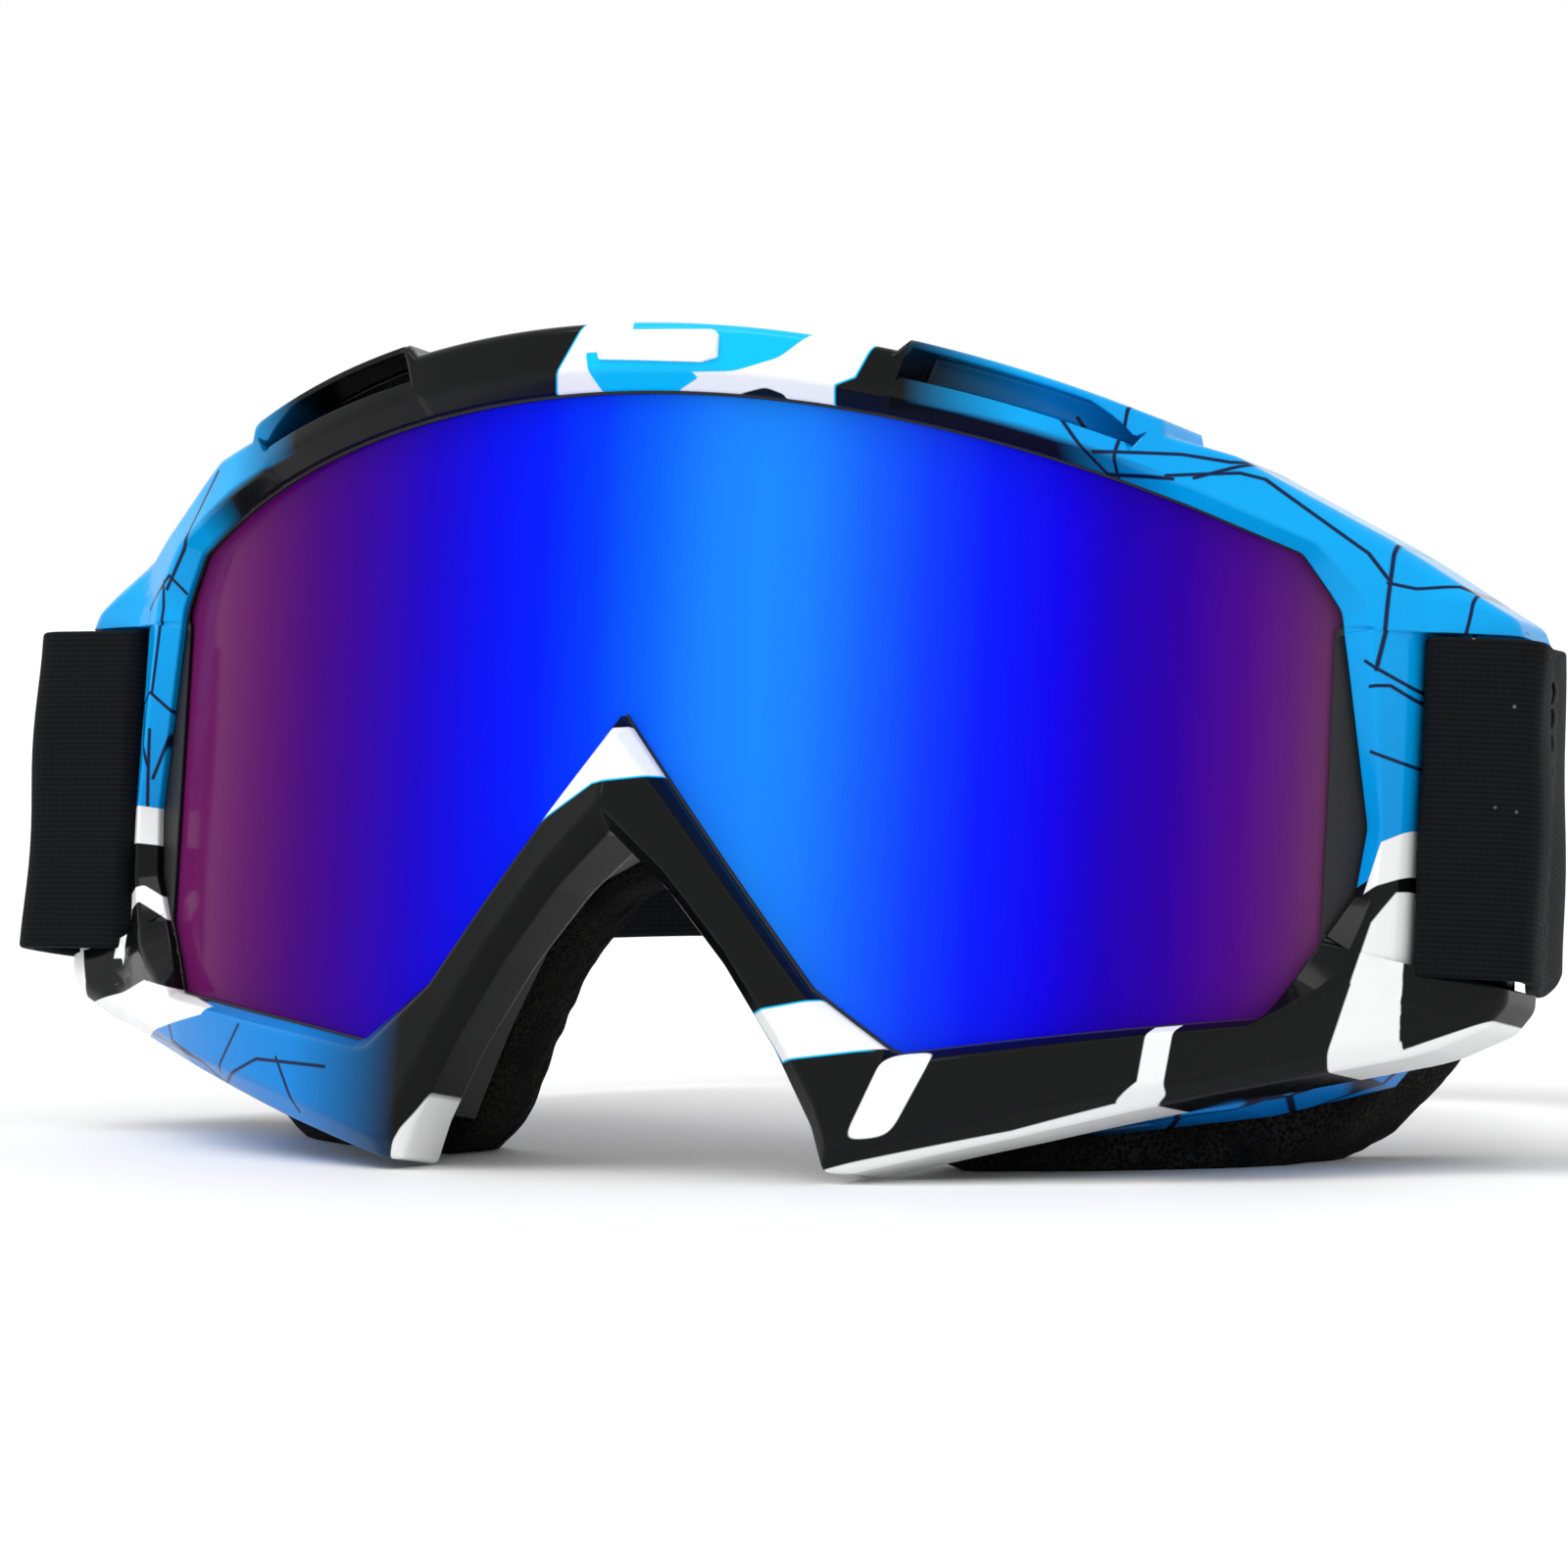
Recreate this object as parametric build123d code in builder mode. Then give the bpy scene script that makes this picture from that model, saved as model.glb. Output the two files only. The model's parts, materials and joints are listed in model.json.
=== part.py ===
"""Motorcycle goggles: a wrap-around frame with one cylindrical mirrored lens, face foam,
vent foam and an elastic head strap with a slider.

Every piece of the goggles is first drawn upright: X across the face, -Y forward, Z along the
axis of the lens cylinder, origin on the lens at the tip of the nose bridge.  The finished
goggles lean back on their frame tips and on the foam, so each piece is turned by LEAN and
moved so that the whole stands on z = 0 with the origin under the middle of its outer box.
"""

import os
from math import asin, cos, degrees, radians, sin, tan

from build123d import *

# ---------------------------------------------------------------- driving dimensions (mm, deg)
LEAN = 7.7                    # how far the goggles lean back when they stand on a table

# plan view: the wrap of the frame and of the lens
FRAME_RADIUS = 98.4           # wrap radius of the frame's middle
WRAP_HALF_WIDTH = 66.0        # beyond this the frame's sides run straight back
ARM_ANGLE = 14.5              # the arms outside the strap slots run back by only this much
RIM_PROUD = 3.0               # rim in front of the wrap line
RIM_BACK = 8.0                # back of the front frame behind the wrap line
LENS_TIGHTER = 6.4            # lens outer face curves tighter than the frame by this
LENS_SETBACK = 1.0            # lens behind the wrap line at the middle
LENS_THICKNESS = 1.2
LENS_OVERLAP = 2.0            # hidden edge of the lens behind the rim
LENS_PLAY = 0.15              # air round the lens in its pocket
RIM_BEVEL = 1.2               # bevel of the rim round the lens opening

# front view, right half: the lens opening, from the nose bridge round to the brow
OPENING_NOSE = [(0.0, 0.0), (23.0, -29.8), (32.4, -36.6)]
OPENING_SIDE = [(67.5, -30.0), (75.0, -15.5), (75.8, -8.0), (73.6, 8.5), (72.6, 16.0), (68.8, 22.0)]
OPENING_BROW = 36.6           # height of the opening over the nose bridge tip
GASKET_LIP = 0.8              # gasket seen inside the opening
GASKET_WINDOW = 71.8          # half width of the clear window between the side lands
GASKET_THICKNESS = 1.3

# front view, right half: outside of the front frame
FRAME_NOSE = [(0.0, -13.0), (7.0, -19.5), (13.5, -27.5), (19.5, -36.5), (24.0, -45.0), (25.6, -49.8)]
FRAME_CHEEK = [(28.6, -49.8), (45.0, -44.8), (60.0, -39.8), (73.0, -35.5), (82.4, -32.2)]
FRAME_TEMPLE = [(76.5, 24.6), (63.2, 31.9), (57.0, 33.4)]
FRAME_BROW = 44.0             # top of the frame over the nose bridge tip
NOSE_PROUD = 5.6              # nose ridge in front of the wrap line
NOSE_KEEL_HALF = 27.0         # half width of the raised nose bridge
NOSE_KEEL_TOP = -8.0          # the keel starts at this height

# strap bar at each side
STRAP_WIDTH = 38.0
STRAP_THICKNESS = 1.8
STRAP_MIDDLE = -5.2           # height of the strap's middle on the frame
SLOT_X = 80.2                 # inner wall of the slot beside the bar
SLOT_WIDTH = 2.6
BAR_WIDTH = 7.6
BAR_SETBACK = 0.6             # bar's front face behind the wrap line
BAR_DEPTH = 3.6
BAR_AIR = 0.3                 # strap clear of the bar
SLOT_SPARE = 0.6              # slot longer than the strap is wide, each end
ARM_HEIGHT = 3.4              # arm over and under the slot

# rear frame, which carries the foam; right half of its outside, of its face opening and of the foam
REAR_NOSE = [(0.0, -12.0), (10.0, -17.0), (16.6, -24.5), (21.6, -34.0), (26.0, -44.0), (45.0, -43.6), (62.0, -39.6)]
REAR_TEMPLE = [(73.0, -35.2), (78.0, -27.0), (79.0, -6.0), (77.5, 11.0), (72.5, 21.5), (58.0, 29.0)]
REAR_BROW = 40.0
FACE_NOSE = [(0.0, -2.5), (10.0, -6.5), (19.0, -15.5), (27.0, -27.0), (35.0, -33.5), (47.0, -33.5), (60.0, -30.5)]
FACE_TEMPLE = [(66.0, -25.0), (68.0, -8.0), (66.5, 7.0), (61.5, 15.0)]
FACE_BROW = 28.5
FOAM_NOSE = [(0.0, -12.6), (10.5, -17.6), (17.3, -25.0), (22.2, -34.0), (25.6, -42.5), (30.5, -47.6), (45.0, -47.4),
             (63.5, -44.6)]
FOAM_TEMPLE = [(74.6, -38.0), (79.0, -27.2), (80.0, -6.0), (78.5, 11.2), (73.4, 22.3), (58.6, 29.9)]
FOAM_BROW = 41.0
REAR_WALL = 2.0
REAR_DEPTH = 9.0              # wall, from the front frame to the flange's back
FLANGE_THICKNESS = 1.8
ADHESIVE_THICKNESS = 0.6
ADHESIVE_INSET = 0.8
FOAM_THICKNESS = 15.0

# vents
HOOD_X = 43.0                 # middle of a brow vent hood
HOOD_LENGTH = 27.0
HOOD_RISE = 1.3               # hood over the brow
HOOD_WALL = 1.2
VENT_SLOT = 3.0               # height of the hood's slot
VENT_DEPTH = 8.0
TOP_VENT_X, TOP_VENT_WIDTH = 40.0, 24.0
LOW_VENT_X, LOW_VENT_WIDTH = 46.0, 14.0
VENT_FOAM = 1.6
VENT_FOAM_LAP = 1.5           # vent foam past the slot it covers, each side

# brow badge
BADGE_WIDTH, BADGE_HEIGHT, BADGE_THICKNESS = 14.5, 3.8, 0.9
BADGE_Z = 41.2

# head strap behind the bars
LOOP_REACH = 24.0             # radius about the tilt axis where the sewn loop ends
TILT_GAP = 0.5
STRAP_STRAIGHT = 22.5         # strap runs straight back for this far behind the tilt axis
STRAP_BACK = 106.7            # strap's back behind the tilt axis
STRAP_SIDE_INSET = 34.0       # each side comes in by this much at the back
STRAP_CORNER = 36.0
STRAP_DROP = 1.6              # strap's middle under the tilt axis
TAIL_LENGTH = 72.0            # doubled stretch across the back
LAYER_AIR = 0.15
SLIDER_LENGTH = 24.0
SLIDER_WALL = 2.0
SLIDER_AIR = 0.4
SLIDER_BAR = 3.6
STITCH_RADIUS = 0.35
STITCH_LENGTH = 2.2
STITCH_PITCH = 3.0

# ---------------------------------------------------------------- derived values
LENS_RADIUS = FRAME_RADIUS - LENS_TIGHTER
SIDE_ANGLE = asin(WRAP_HALF_WIDTH / FRAME_RADIUS)
SIDE_COS, SIDE_SIN = cos(SIDE_ANGLE), sin(SIDE_ANGLE)
SIDE_SLOPE = SIDE_SIN / SIDE_COS
ARM_SLOPE = tan(radians(ARM_ANGLE))
BAR_X = SLOT_X + SLOT_WIDTH
BAR_END_X = BAR_X + BAR_WIDTH
BAR_BACK = BAR_SETBACK + BAR_DEPTH * SIDE_COS / cos(radians(ARM_ANGLE))
STRAP_OUT_X = BAR_END_X + BAR_AIR + STRAP_THICKNESS
SLOT_HALF = STRAP_WIDTH / 2 + SLOT_SPARE
TEMPLE_TOP = STRAP_MIDDLE + SLOT_HALF + ARM_HEIGHT
TEMPLE_FOOT = STRAP_MIDDLE - SLOT_HALF - ARM_HEIGHT
FRAME_SIDE = [(BAR_END_X - 3.0, TEMPLE_FOOT - 0.8), (BAR_END_X, TEMPLE_FOOT + 1.6),
              (BAR_END_X, TEMPLE_TOP - 1.2), (BAR_END_X - 4.5, TEMPLE_TOP + 0.6)]
LENS_CENTRE_Y = LENS_SETBACK + LENS_RADIUS
FLANGE_BACK = RIM_BACK + REAR_DEPTH
FLANGE_FRONT = FLANGE_BACK - FLANGE_THICKNESS
ADHESIVE_BACK = FLANGE_BACK + ADHESIVE_THICKNESS
FOAM_BACK = ADHESIVE_BACK + FOAM_THICKNESS
FAR = 150.0                   # beyond every piece, for cutting bodies


def side_y(x, behind):
    """Depth of the straight side, or of the arm outside the slot, `behind` mm behind the wrap line."""
    side_x, arm_length = min(x, SLOT_X), max(x - SLOT_X, 0)
    bend_y = FRAME_RADIUS * (1 - SIDE_COS)
    return bend_y + (side_x - WRAP_HALF_WIDTH) * SIDE_SLOPE + arm_length * ARM_SLOPE + behind / SIDE_COS


def side_line(behind):
    """Plan points of the wrap line's copy `behind` mm behind it, from the end of its arc outward."""
    bend_x = (FRAME_RADIUS - behind) * SIDE_SIN
    bend_y = FRAME_RADIUS - (FRAME_RADIUS - behind) * SIDE_COS
    return [(bend_x, bend_y)] + [(x, side_y(x, behind)) for x in (SLOT_X, FAR) if x > bend_x]


TILT_Y = side_y(BAR_X + BAR_WIDTH / 2, (BAR_SETBACK + BAR_BACK) / 2)


def front_outline(points, brow_height, grow=0.0):
    """Symmetric outline in the front view: points of the right half, closed by a brow arc."""
    last_x, last_z = points[-1]
    rise = brow_height - last_z
    brow_radius = (last_x ** 2 + rise ** 2) / (2 * rise)
    with BuildSketch(Plane.XZ) as outline:
        with BuildLine():
            Polyline(*points)
            RadiusArc((last_x, last_z), (0, brow_height), -brow_radius)
            mirror(about=Plane.YZ)
        make_face()
        if grow:
            offset(amount=grow)
    return outline.sketch


def wrap_band(near, far):
    """Plan region between two copies of the wrap line, `near` and `far` mm behind it."""
    near_side, far_side = side_line(near), side_line(far)
    with BuildSketch() as band:
        with BuildLine():
            Line((0, far), (0, near))
            RadiusArc((0, near), near_side[0], -(FRAME_RADIUS - near))
            Polyline(*near_side, *reversed(far_side))
            RadiusArc(far_side[0], (0, far), FRAME_RADIUS - far)
        make_face()
        mirror(about=Plane.YZ)
    return band.sketch


def lens_band(front, back):
    """Plan region of a shell `front` to `back` mm behind the lens's outer face."""
    with BuildSketch() as band:
        with Locations((0, LENS_CENTRE_Y)):
            Circle(LENS_RADIUS - front)
            Circle(LENS_RADIUS - back, mode=Mode.SUBTRACT)
            Rectangle(2 * FAR, FAR, align=(Align.CENTER, Align.MIN), mode=Mode.SUBTRACT)
    return band.sketch


def curved_plate(outline, band):
    """A front-view outline bent to a plan-view band."""
    with BuildPart() as plate:
        extrude(to_extrude=outline, amount=FAR, both=True)
        extrude(to_extrude=band, amount=FAR, both=True, mode=Mode.INTERSECT)
    return plate.part


def block(x_range, y_range, z_range):
    """A block between two corners, and its mirror on the left."""
    size = [high - low for low, high in (x_range, y_range, z_range)]
    with BuildPart() as piece:
        with Locations([(x_range[0], y_range[0], z_range[0])]):
            Box(*size, align=(Align.MIN, Align.MIN, Align.MIN))
        mirror(about=Plane.YZ)
    return piece.part


# ---------------------------------------------------------------- shared outlines
OPENING = OPENING_NOSE + OPENING_SIDE
opening = front_outline(OPENING, OPENING_BROW)
bevel_outline = front_outline(OPENING, OPENING_BROW, grow=RIM_BEVEL)
lens_outline = front_outline(OPENING, OPENING_BROW, grow=LENS_OVERLAP)
pocket_outline = front_outline(OPENING, OPENING_BROW, grow=LENS_OVERLAP + LENS_PLAY)
window_outline = front_outline(OPENING, OPENING_BROW, grow=-GASKET_LIP)
frame_outline = front_outline(FRAME_NOSE + FRAME_CHEEK + FRAME_SIDE + FRAME_TEMPLE, FRAME_BROW)
rear_outline = front_outline(REAR_NOSE + REAR_TEMPLE, REAR_BROW)
rear_inner = front_outline(REAR_NOSE + REAR_TEMPLE, REAR_BROW, grow=-REAR_WALL)
vent_inner = front_outline(REAR_NOSE + REAR_TEMPLE, REAR_BROW, grow=-REAR_WALL - VENT_FOAM)
face_opening = front_outline(FACE_NOSE + FACE_TEMPLE, FACE_BROW)

# the brow vent hoods: a rectangle along the brow arc, seen from the front
HOOD_BROW_RADIUS = (FRAME_TEMPLE[-1][0] ** 2 + (FRAME_BROW - FRAME_TEMPLE[-1][1]) ** 2) / (
    2 * (FRAME_BROW - FRAME_TEMPLE[-1][1]))
HOOD_TILT = degrees(asin(HOOD_X / HOOD_BROW_RADIUS))
HOOD_Z = FRAME_BROW - HOOD_BROW_RADIUS * (1 - cos(radians(HOOD_TILT))) + HOOD_RISE


def hood_outline(length, top_gap, height):
    """Both hoods' rectangles in the front view, `top_gap` under the hoods' tops."""
    with BuildSketch(Plane.XZ) as hoods:
        with Locations(Location((HOOD_X, HOOD_Z), -HOOD_TILT)):
            with Locations((0, -top_gap)):
                Rectangle(length, height, align=(Align.CENTER, Align.MAX))
        mirror(about=Plane.YZ)
    return hoods.sketch


# ---------------------------------------------------------------- front frame
bar_gap_z = (STRAP_MIDDLE - SLOT_HALF, STRAP_MIDDLE + SLOT_HALF)
with BuildSketch() as keel_plan:
    Polygon((0, -NOSE_PROUD), (NOSE_KEEL_HALF, RIM_BACK / 4), (NOSE_KEEL_HALF, RIM_BACK / 2),
            (-NOSE_KEEL_HALF, RIM_BACK / 2), (-NOSE_KEEL_HALF, RIM_BACK / 4), align=None)
nose_keel = curved_plate(frame_outline, keel_plan.sketch)
nose_keel = nose_keel - Pos(0, 0, NOSE_KEEL_TOP + FAR) * Box(2 * FAR, 2 * FAR, 2 * FAR)
beside_bar = curved_plate(frame_outline, wrap_band(BAR_SETBACK, BAR_BACK))
with BuildPart() as front_frame:
    extrude(to_extrude=frame_outline, amount=FAR, both=True)
    add(curved_plate(hood_outline(HOOD_LENGTH, 0, HOOD_WALL * 2 + VENT_SLOT), wrap_band(-FAR / 2, FAR / 2)))
    extrude(to_extrude=wrap_band(-RIM_PROUD, RIM_BACK), amount=FAR, both=True, mode=Mode.INTERSECT)
    add(nose_keel)
    # strap slots, and the room for the strap in front of, behind and outside each bar
    add(block((SLOT_X, BAR_X), (0, FAR), bar_gap_z), mode=Mode.SUBTRACT)
    add(block((BAR_X, FAR), (0, FAR), bar_gap_z) - beside_bar, mode=Mode.SUBTRACT)
    # vent slots under the hoods
    add(curved_plate(hood_outline(HOOD_LENGTH - 2 * HOOD_WALL, HOOD_WALL, VENT_SLOT),
                     wrap_band(-FAR / 2, VENT_DEPTH - RIM_PROUD)), mode=Mode.SUBTRACT)
    # lens opening, its bevel and the pocket for the lens and gasket
    extrude(to_extrude=opening, amount=FAR, both=True, mode=Mode.SUBTRACT)
    add(curved_plate(bevel_outline, wrap_band(-FAR / 2, -RIM_PROUD / 2)), mode=Mode.SUBTRACT)
    add(curved_plate(pocket_outline, lens_band(-LENS_PLAY, LENS_RADIUS - 1)), mode=Mode.SUBTRACT)
front_frame.part.label = "front_frame"

# ---------------------------------------------------------------- lens, gasket and badge
with BuildPart() as lens:
    add(curved_plate(lens_outline, lens_band(0, LENS_THICKNESS)))
lens.part.label = "lens"

with BuildPart() as lens_gasket:
    add(curved_plate(opening, lens_band(-GASKET_THICKNESS, 0)))
    with BuildSketch(Plane.XZ) as window:
        add(window_outline)
        Rectangle(2 * GASKET_WINDOW, 2 * FAR, mode=Mode.INTERSECT)
    extrude(amount=FAR, both=True, mode=Mode.SUBTRACT)
lens_gasket.part.label = "lens_gasket"

with BuildSketch(Plane.XZ) as badge_outline:
    with Locations((0, BADGE_Z)):
        Polygon((BADGE_WIDTH / 2, 0), (BADGE_WIDTH / 2 - BADGE_HEIGHT / 2, BADGE_HEIGHT / 2),
                (-BADGE_WIDTH / 2 + BADGE_HEIGHT / 2, BADGE_HEIGHT / 2), (-BADGE_WIDTH / 2, 0),
                (-BADGE_WIDTH / 2 + BADGE_HEIGHT / 2, -BADGE_HEIGHT / 2),
                (BADGE_WIDTH / 2 - BADGE_HEIGHT / 2, -BADGE_HEIGHT / 2), align=None)
with BuildPart() as brow_badge:
    add(curved_plate(badge_outline.sketch, wrap_band(-RIM_PROUD - BADGE_THICKNESS, -RIM_PROUD)))
brow_badge.part.label = "brow_badge"


# ---------------------------------------------------------------- rear frame, adhesive and foam
def vent_strip(outer, inner, centre_x, width, above, near, far):
    """The stretch of a wall between two outlines at a vent: a pair, left and right."""
    z_range = (0, FAR) if above else (-FAR, 0)
    wall = curved_plate(outer, wrap_band(near, far)) - curved_plate(inner, wrap_band(-FAR / 2, FAR / 2))
    return wall & block((centre_x - width / 2, centre_x + width / 2), (-FAR, FAR), z_range)


VENT_ROOM = (RIM_BACK + 2 * FLANGE_THICKNESS, FLANGE_FRONT - FLANGE_THICKNESS)
vents = {"top": (TOP_VENT_X, TOP_VENT_WIDTH, True), "bottom": (LOW_VENT_X, LOW_VENT_WIDTH, False)}
with BuildPart() as rear_frame:
    add(curved_plate(rear_outline, wrap_band(RIM_BACK, FLANGE_BACK)))
    add(curved_plate(rear_inner, wrap_band(RIM_BACK - 1, FLANGE_FRONT)), mode=Mode.SUBTRACT)
    add(curved_plate(face_opening, wrap_band(RIM_BACK - 1, FLANGE_BACK + 1)), mode=Mode.SUBTRACT)
    for centre_x, width, above in vents.values():
        add(vent_strip(rear_outline, rear_inner, centre_x, width, above, *VENT_ROOM), mode=Mode.SUBTRACT)
rear_frame.part.label = "rear_frame"

vent_foams = []
for place, (centre_x, width, above) in vents.items():
    pads = vent_strip(rear_inner, vent_inner, centre_x, width + 2 * VENT_FOAM_LAP, above,
                      VENT_ROOM[0] - VENT_FOAM_LAP, VENT_ROOM[1] + VENT_FOAM_LAP)
    for side, pad in zip(("left", "right"), pads.solids().sort_by(Axis.X)):
        with BuildPart() as vent_foam:
            add(pad)
        vent_foam.part.label = f"vent_foam_{place}_{side}"
        vent_foams.append(vent_foam.part)

with BuildPart() as foam_adhesive:
    add(curved_plate(front_outline(REAR_NOSE + REAR_TEMPLE, REAR_BROW, grow=-ADHESIVE_INSET),
                     wrap_band(FLANGE_BACK, ADHESIVE_BACK)))
    add(curved_plate(front_outline(FACE_NOSE + FACE_TEMPLE, FACE_BROW, grow=ADHESIVE_INSET),
                     wrap_band(FLANGE_BACK - 1, ADHESIVE_BACK + 1)), mode=Mode.SUBTRACT)
foam_adhesive.part.label = "foam_adhesive"

with BuildPart() as face_foam:
    add(curved_plate(front_outline(FOAM_NOSE + FOAM_TEMPLE, FOAM_BROW), wrap_band(ADHESIVE_BACK, FOAM_BACK)))
    add(curved_plate(face_opening, wrap_band(ADHESIVE_BACK - 1, FOAM_BACK + 1)), mode=Mode.SUBTRACT)
face_foam.part.label = "face_foam"


# ---------------------------------------------------------------- strap loops
def bar_section(grow):
    """Plan section of the right strap bar, grown on every side."""
    with BuildSketch() as section:
        Polygon((BAR_X, side_y(BAR_X, BAR_SETBACK)), (BAR_END_X, side_y(BAR_END_X, BAR_SETBACK)),
                (BAR_END_X, side_y(BAR_END_X, BAR_BACK)), (BAR_X, side_y(BAR_X, BAR_BACK)), align=None)
        offset(amount=grow)
    return section.sketch


tilt_cylinder = Pos(0, TILT_Y, STRAP_MIDDLE) * Rot(0, 90, 0) * Cylinder(LOOP_REACH, 2 * FAR)
strap_plane = Plane.XY.offset(STRAP_MIDDLE)
with BuildPart() as right_loop:
    with BuildSketch(strap_plane):
        add(bar_section(BAR_AIR + STRAP_THICKNESS))
        with Locations((STRAP_OUT_X, side_y(BAR_END_X, BAR_SETBACK))):
            Rectangle(2 * STRAP_THICKNESS, 2 * LOOP_REACH, align=(Align.MAX, Align.MIN))
        add(bar_section(BAR_AIR), mode=Mode.SUBTRACT)
    extrude(amount=STRAP_WIDTH / 2, both=True)
    add(tilt_cylinder, mode=Mode.INTERSECT)

STITCH_COUNT = int(STRAP_WIDTH / STITCH_PITCH) - 1
STITCH_ROWS = (LOOP_REACH * 0.5, LOOP_REACH * 0.58)


def stitch_row(centre):
    """Centres of one row of stitches up the strap's width."""
    x, y, z = centre
    return [(x, y, z + (number - (STITCH_COUNT - 1) / 2) * STITCH_PITCH) for number in range(STITCH_COUNT)]


with BuildPart() as right_stitching:
    for face_x in (STRAP_OUT_X, STRAP_OUT_X - 2 * STRAP_THICKNESS):
        for row in STITCH_ROWS:
            with Locations(*stitch_row((face_x, TILT_Y + row, STRAP_MIDDLE))):
                Cylinder(STITCH_RADIUS, STITCH_LENGTH)

# ---------------------------------------------------------------- head strap, level when at rest
# drawn about the tilt axis: X across, Y back from the axis, Z up from the axis
SIDE_X = STRAP_OUT_X - STRAP_THICKNESS / 2
BACK_X = SIDE_X - STRAP_SIDE_INSET
TAIL_Y = STRAP_BACK + STRAP_THICKNESS + LAYER_AIR
loop_room = Rot(0, 90, 0) * Cylinder(LOOP_REACH + TILT_GAP, 2 * FAR)
with BuildPart() as strap_band:
    with BuildSketch(Plane.XY.offset(-STRAP_DROP)):
        with BuildLine():
            FilletPolyline((SIDE_X, LOOP_REACH / 2), (SIDE_X, STRAP_STRAIGHT), (BACK_X, STRAP_BACK),
                           (-BACK_X, STRAP_BACK), (-SIDE_X, STRAP_STRAIGHT), (-SIDE_X, LOOP_REACH / 2),
                           radius=STRAP_CORNER)
        trace(line_width=STRAP_THICKNESS)
    extrude(amount=STRAP_WIDTH / 2, both=True)
    add(loop_room, mode=Mode.SUBTRACT)
strap_band.part.label = "strap_band"

with BuildPart() as strap_tail:
    with Locations((0, TAIL_Y, -STRAP_DROP)):
        Box(TAIL_LENGTH, STRAP_THICKNESS, STRAP_WIDTH)
    fillet(strap_tail.edges().filter_by(Axis.Z).group_by(Axis.X)[0], STRAP_THICKNESS / 3)
strap_tail.part.label = "strap_tail"

TAIL_SEAM_X = TAIL_LENGTH / 2 - STITCH_LENGTH
with BuildPart() as tail_stitching:
    for seam_x in (TAIL_SEAM_X, TAIL_SEAM_X - STITCH_LENGTH):
        with Locations(*stitch_row((seam_x, TAIL_Y + STRAP_THICKNESS / 2, -STRAP_DROP))):
            Cylinder(STITCH_RADIUS, STITCH_LENGTH)
tail_stitching.part.label = "tail_stitching"

# slider: a flat sleeve round both layers, open in two windows behind and one inside
SLEEVE_NEAR = STRAP_BACK - STRAP_THICKNESS / 2 - SLIDER_AIR
SLEEVE_FAR = TAIL_Y + STRAP_THICKNESS / 2 + SLIDER_AIR
SLEEVE_DEPTH = SLEEVE_FAR - SLEEVE_NEAR
SLEEVE_HEIGHT = STRAP_WIDTH + 2 * SLIDER_AIR
WINDOW_WIDTH = (SLIDER_LENGTH - 3 * SLIDER_BAR) / 2
WINDOW_HEIGHT = STRAP_WIDTH - 2 * SLIDER_WALL
with BuildPart() as strap_slider:
    with Locations((0, (SLEEVE_NEAR + SLEEVE_FAR) / 2, -STRAP_DROP)):
        Box(SLIDER_LENGTH, SLEEVE_DEPTH + 2 * SLIDER_WALL, SLEEVE_HEIGHT + 2 * SLIDER_WALL)
        fillet(strap_slider.edges().filter_by(Axis.Y), SLIDER_WALL)
        Box(2 * SLIDER_LENGTH, SLEEVE_DEPTH, SLEEVE_HEIGHT, mode=Mode.SUBTRACT)
    for window_x in (-(SLIDER_BAR + WINDOW_WIDTH) / 2, (SLIDER_BAR + WINDOW_WIDTH) / 2):
        with Locations((window_x, SLEEVE_FAR + SLIDER_WALL / 2, -STRAP_DROP)):
            Box(WINDOW_WIDTH, 2 * SLIDER_WALL, WINDOW_HEIGHT, mode=Mode.SUBTRACT)
    with Locations((0, SLEEVE_NEAR - SLIDER_WALL / 2, -STRAP_DROP)):
        Box(SLIDER_LENGTH - 2 * SLIDER_BAR, 2 * SLIDER_WALL, WINDOW_HEIGHT, mode=Mode.SUBTRACT)
strap_slider.part.label = "strap_slider"

# ---------------------------------------------------------------- stand everything on z = 0
tilt_point = Vector(0, TILT_Y, STRAP_MIDDLE).rotate(Axis.X, -LEAN)
floor_z = front_frame.part.rotate(Axis.X, -LEAN).bounding_box().min.Z
front_y = front_frame.part.rotate(Axis.X, -LEAN).bounding_box().min.Y
back_y = tilt_point.Y + SLEEVE_FAR + SLIDER_WALL
drop = Pos(0, -(front_y + back_y) / 2, -floor_z)
goggles_place = drop * Rot(-LEAN, 0, 0)
strap_place = drop * Pos(tilt_point)


def export(piece, name):
    """Label one finished piece and write its file."""
    piece.label = name
    export_step(piece, f"parts/{name}.step")


os.makedirs("parts", exist_ok=True)
for piece in (front_frame, rear_frame, lens, lens_gasket, brow_badge, foam_adhesive):
    export(goggles_place * piece.part, piece.part.label)
for pad in vent_foams:
    export(goggles_place * pad, pad.label)
for piece in (strap_band, strap_tail, tail_stitching, strap_slider):
    export(strap_place * piece.part, piece.part.label)
for name, piece in (("strap_loop", right_loop), ("loop_stitching", right_stitching)):
    export(goggles_place * piece.part, f"{name}_right")
    export(goggles_place * mirror(piece.part, about=Plane.YZ), f"{name}_left")

# the foam is pressed flat where it rests on the table
with BuildPart() as standing_foam:
    add(goggles_place * face_foam.part)
    split(bisect_by=Plane.XY, keep=Keep.TOP)
export(standing_foam.part, "face_foam")

print("tilt axis at", strap_place.position)
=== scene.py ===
"""Motorcycle goggles: the visible meshes and finishes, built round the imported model.

Shapes are drawn upright in millimetres, as the goggles face the wearer's way: X across, -Y forward,
Z along the axis of the lens cylinder, origin on the wrap line at the tip of the nose bridge.  The
wrap line is the goggles' plan curve, and "behind" is a depth in mm square to it.
"""

import json
import logging
import math
from dataclasses import dataclass, field
from enum import Enum

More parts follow.
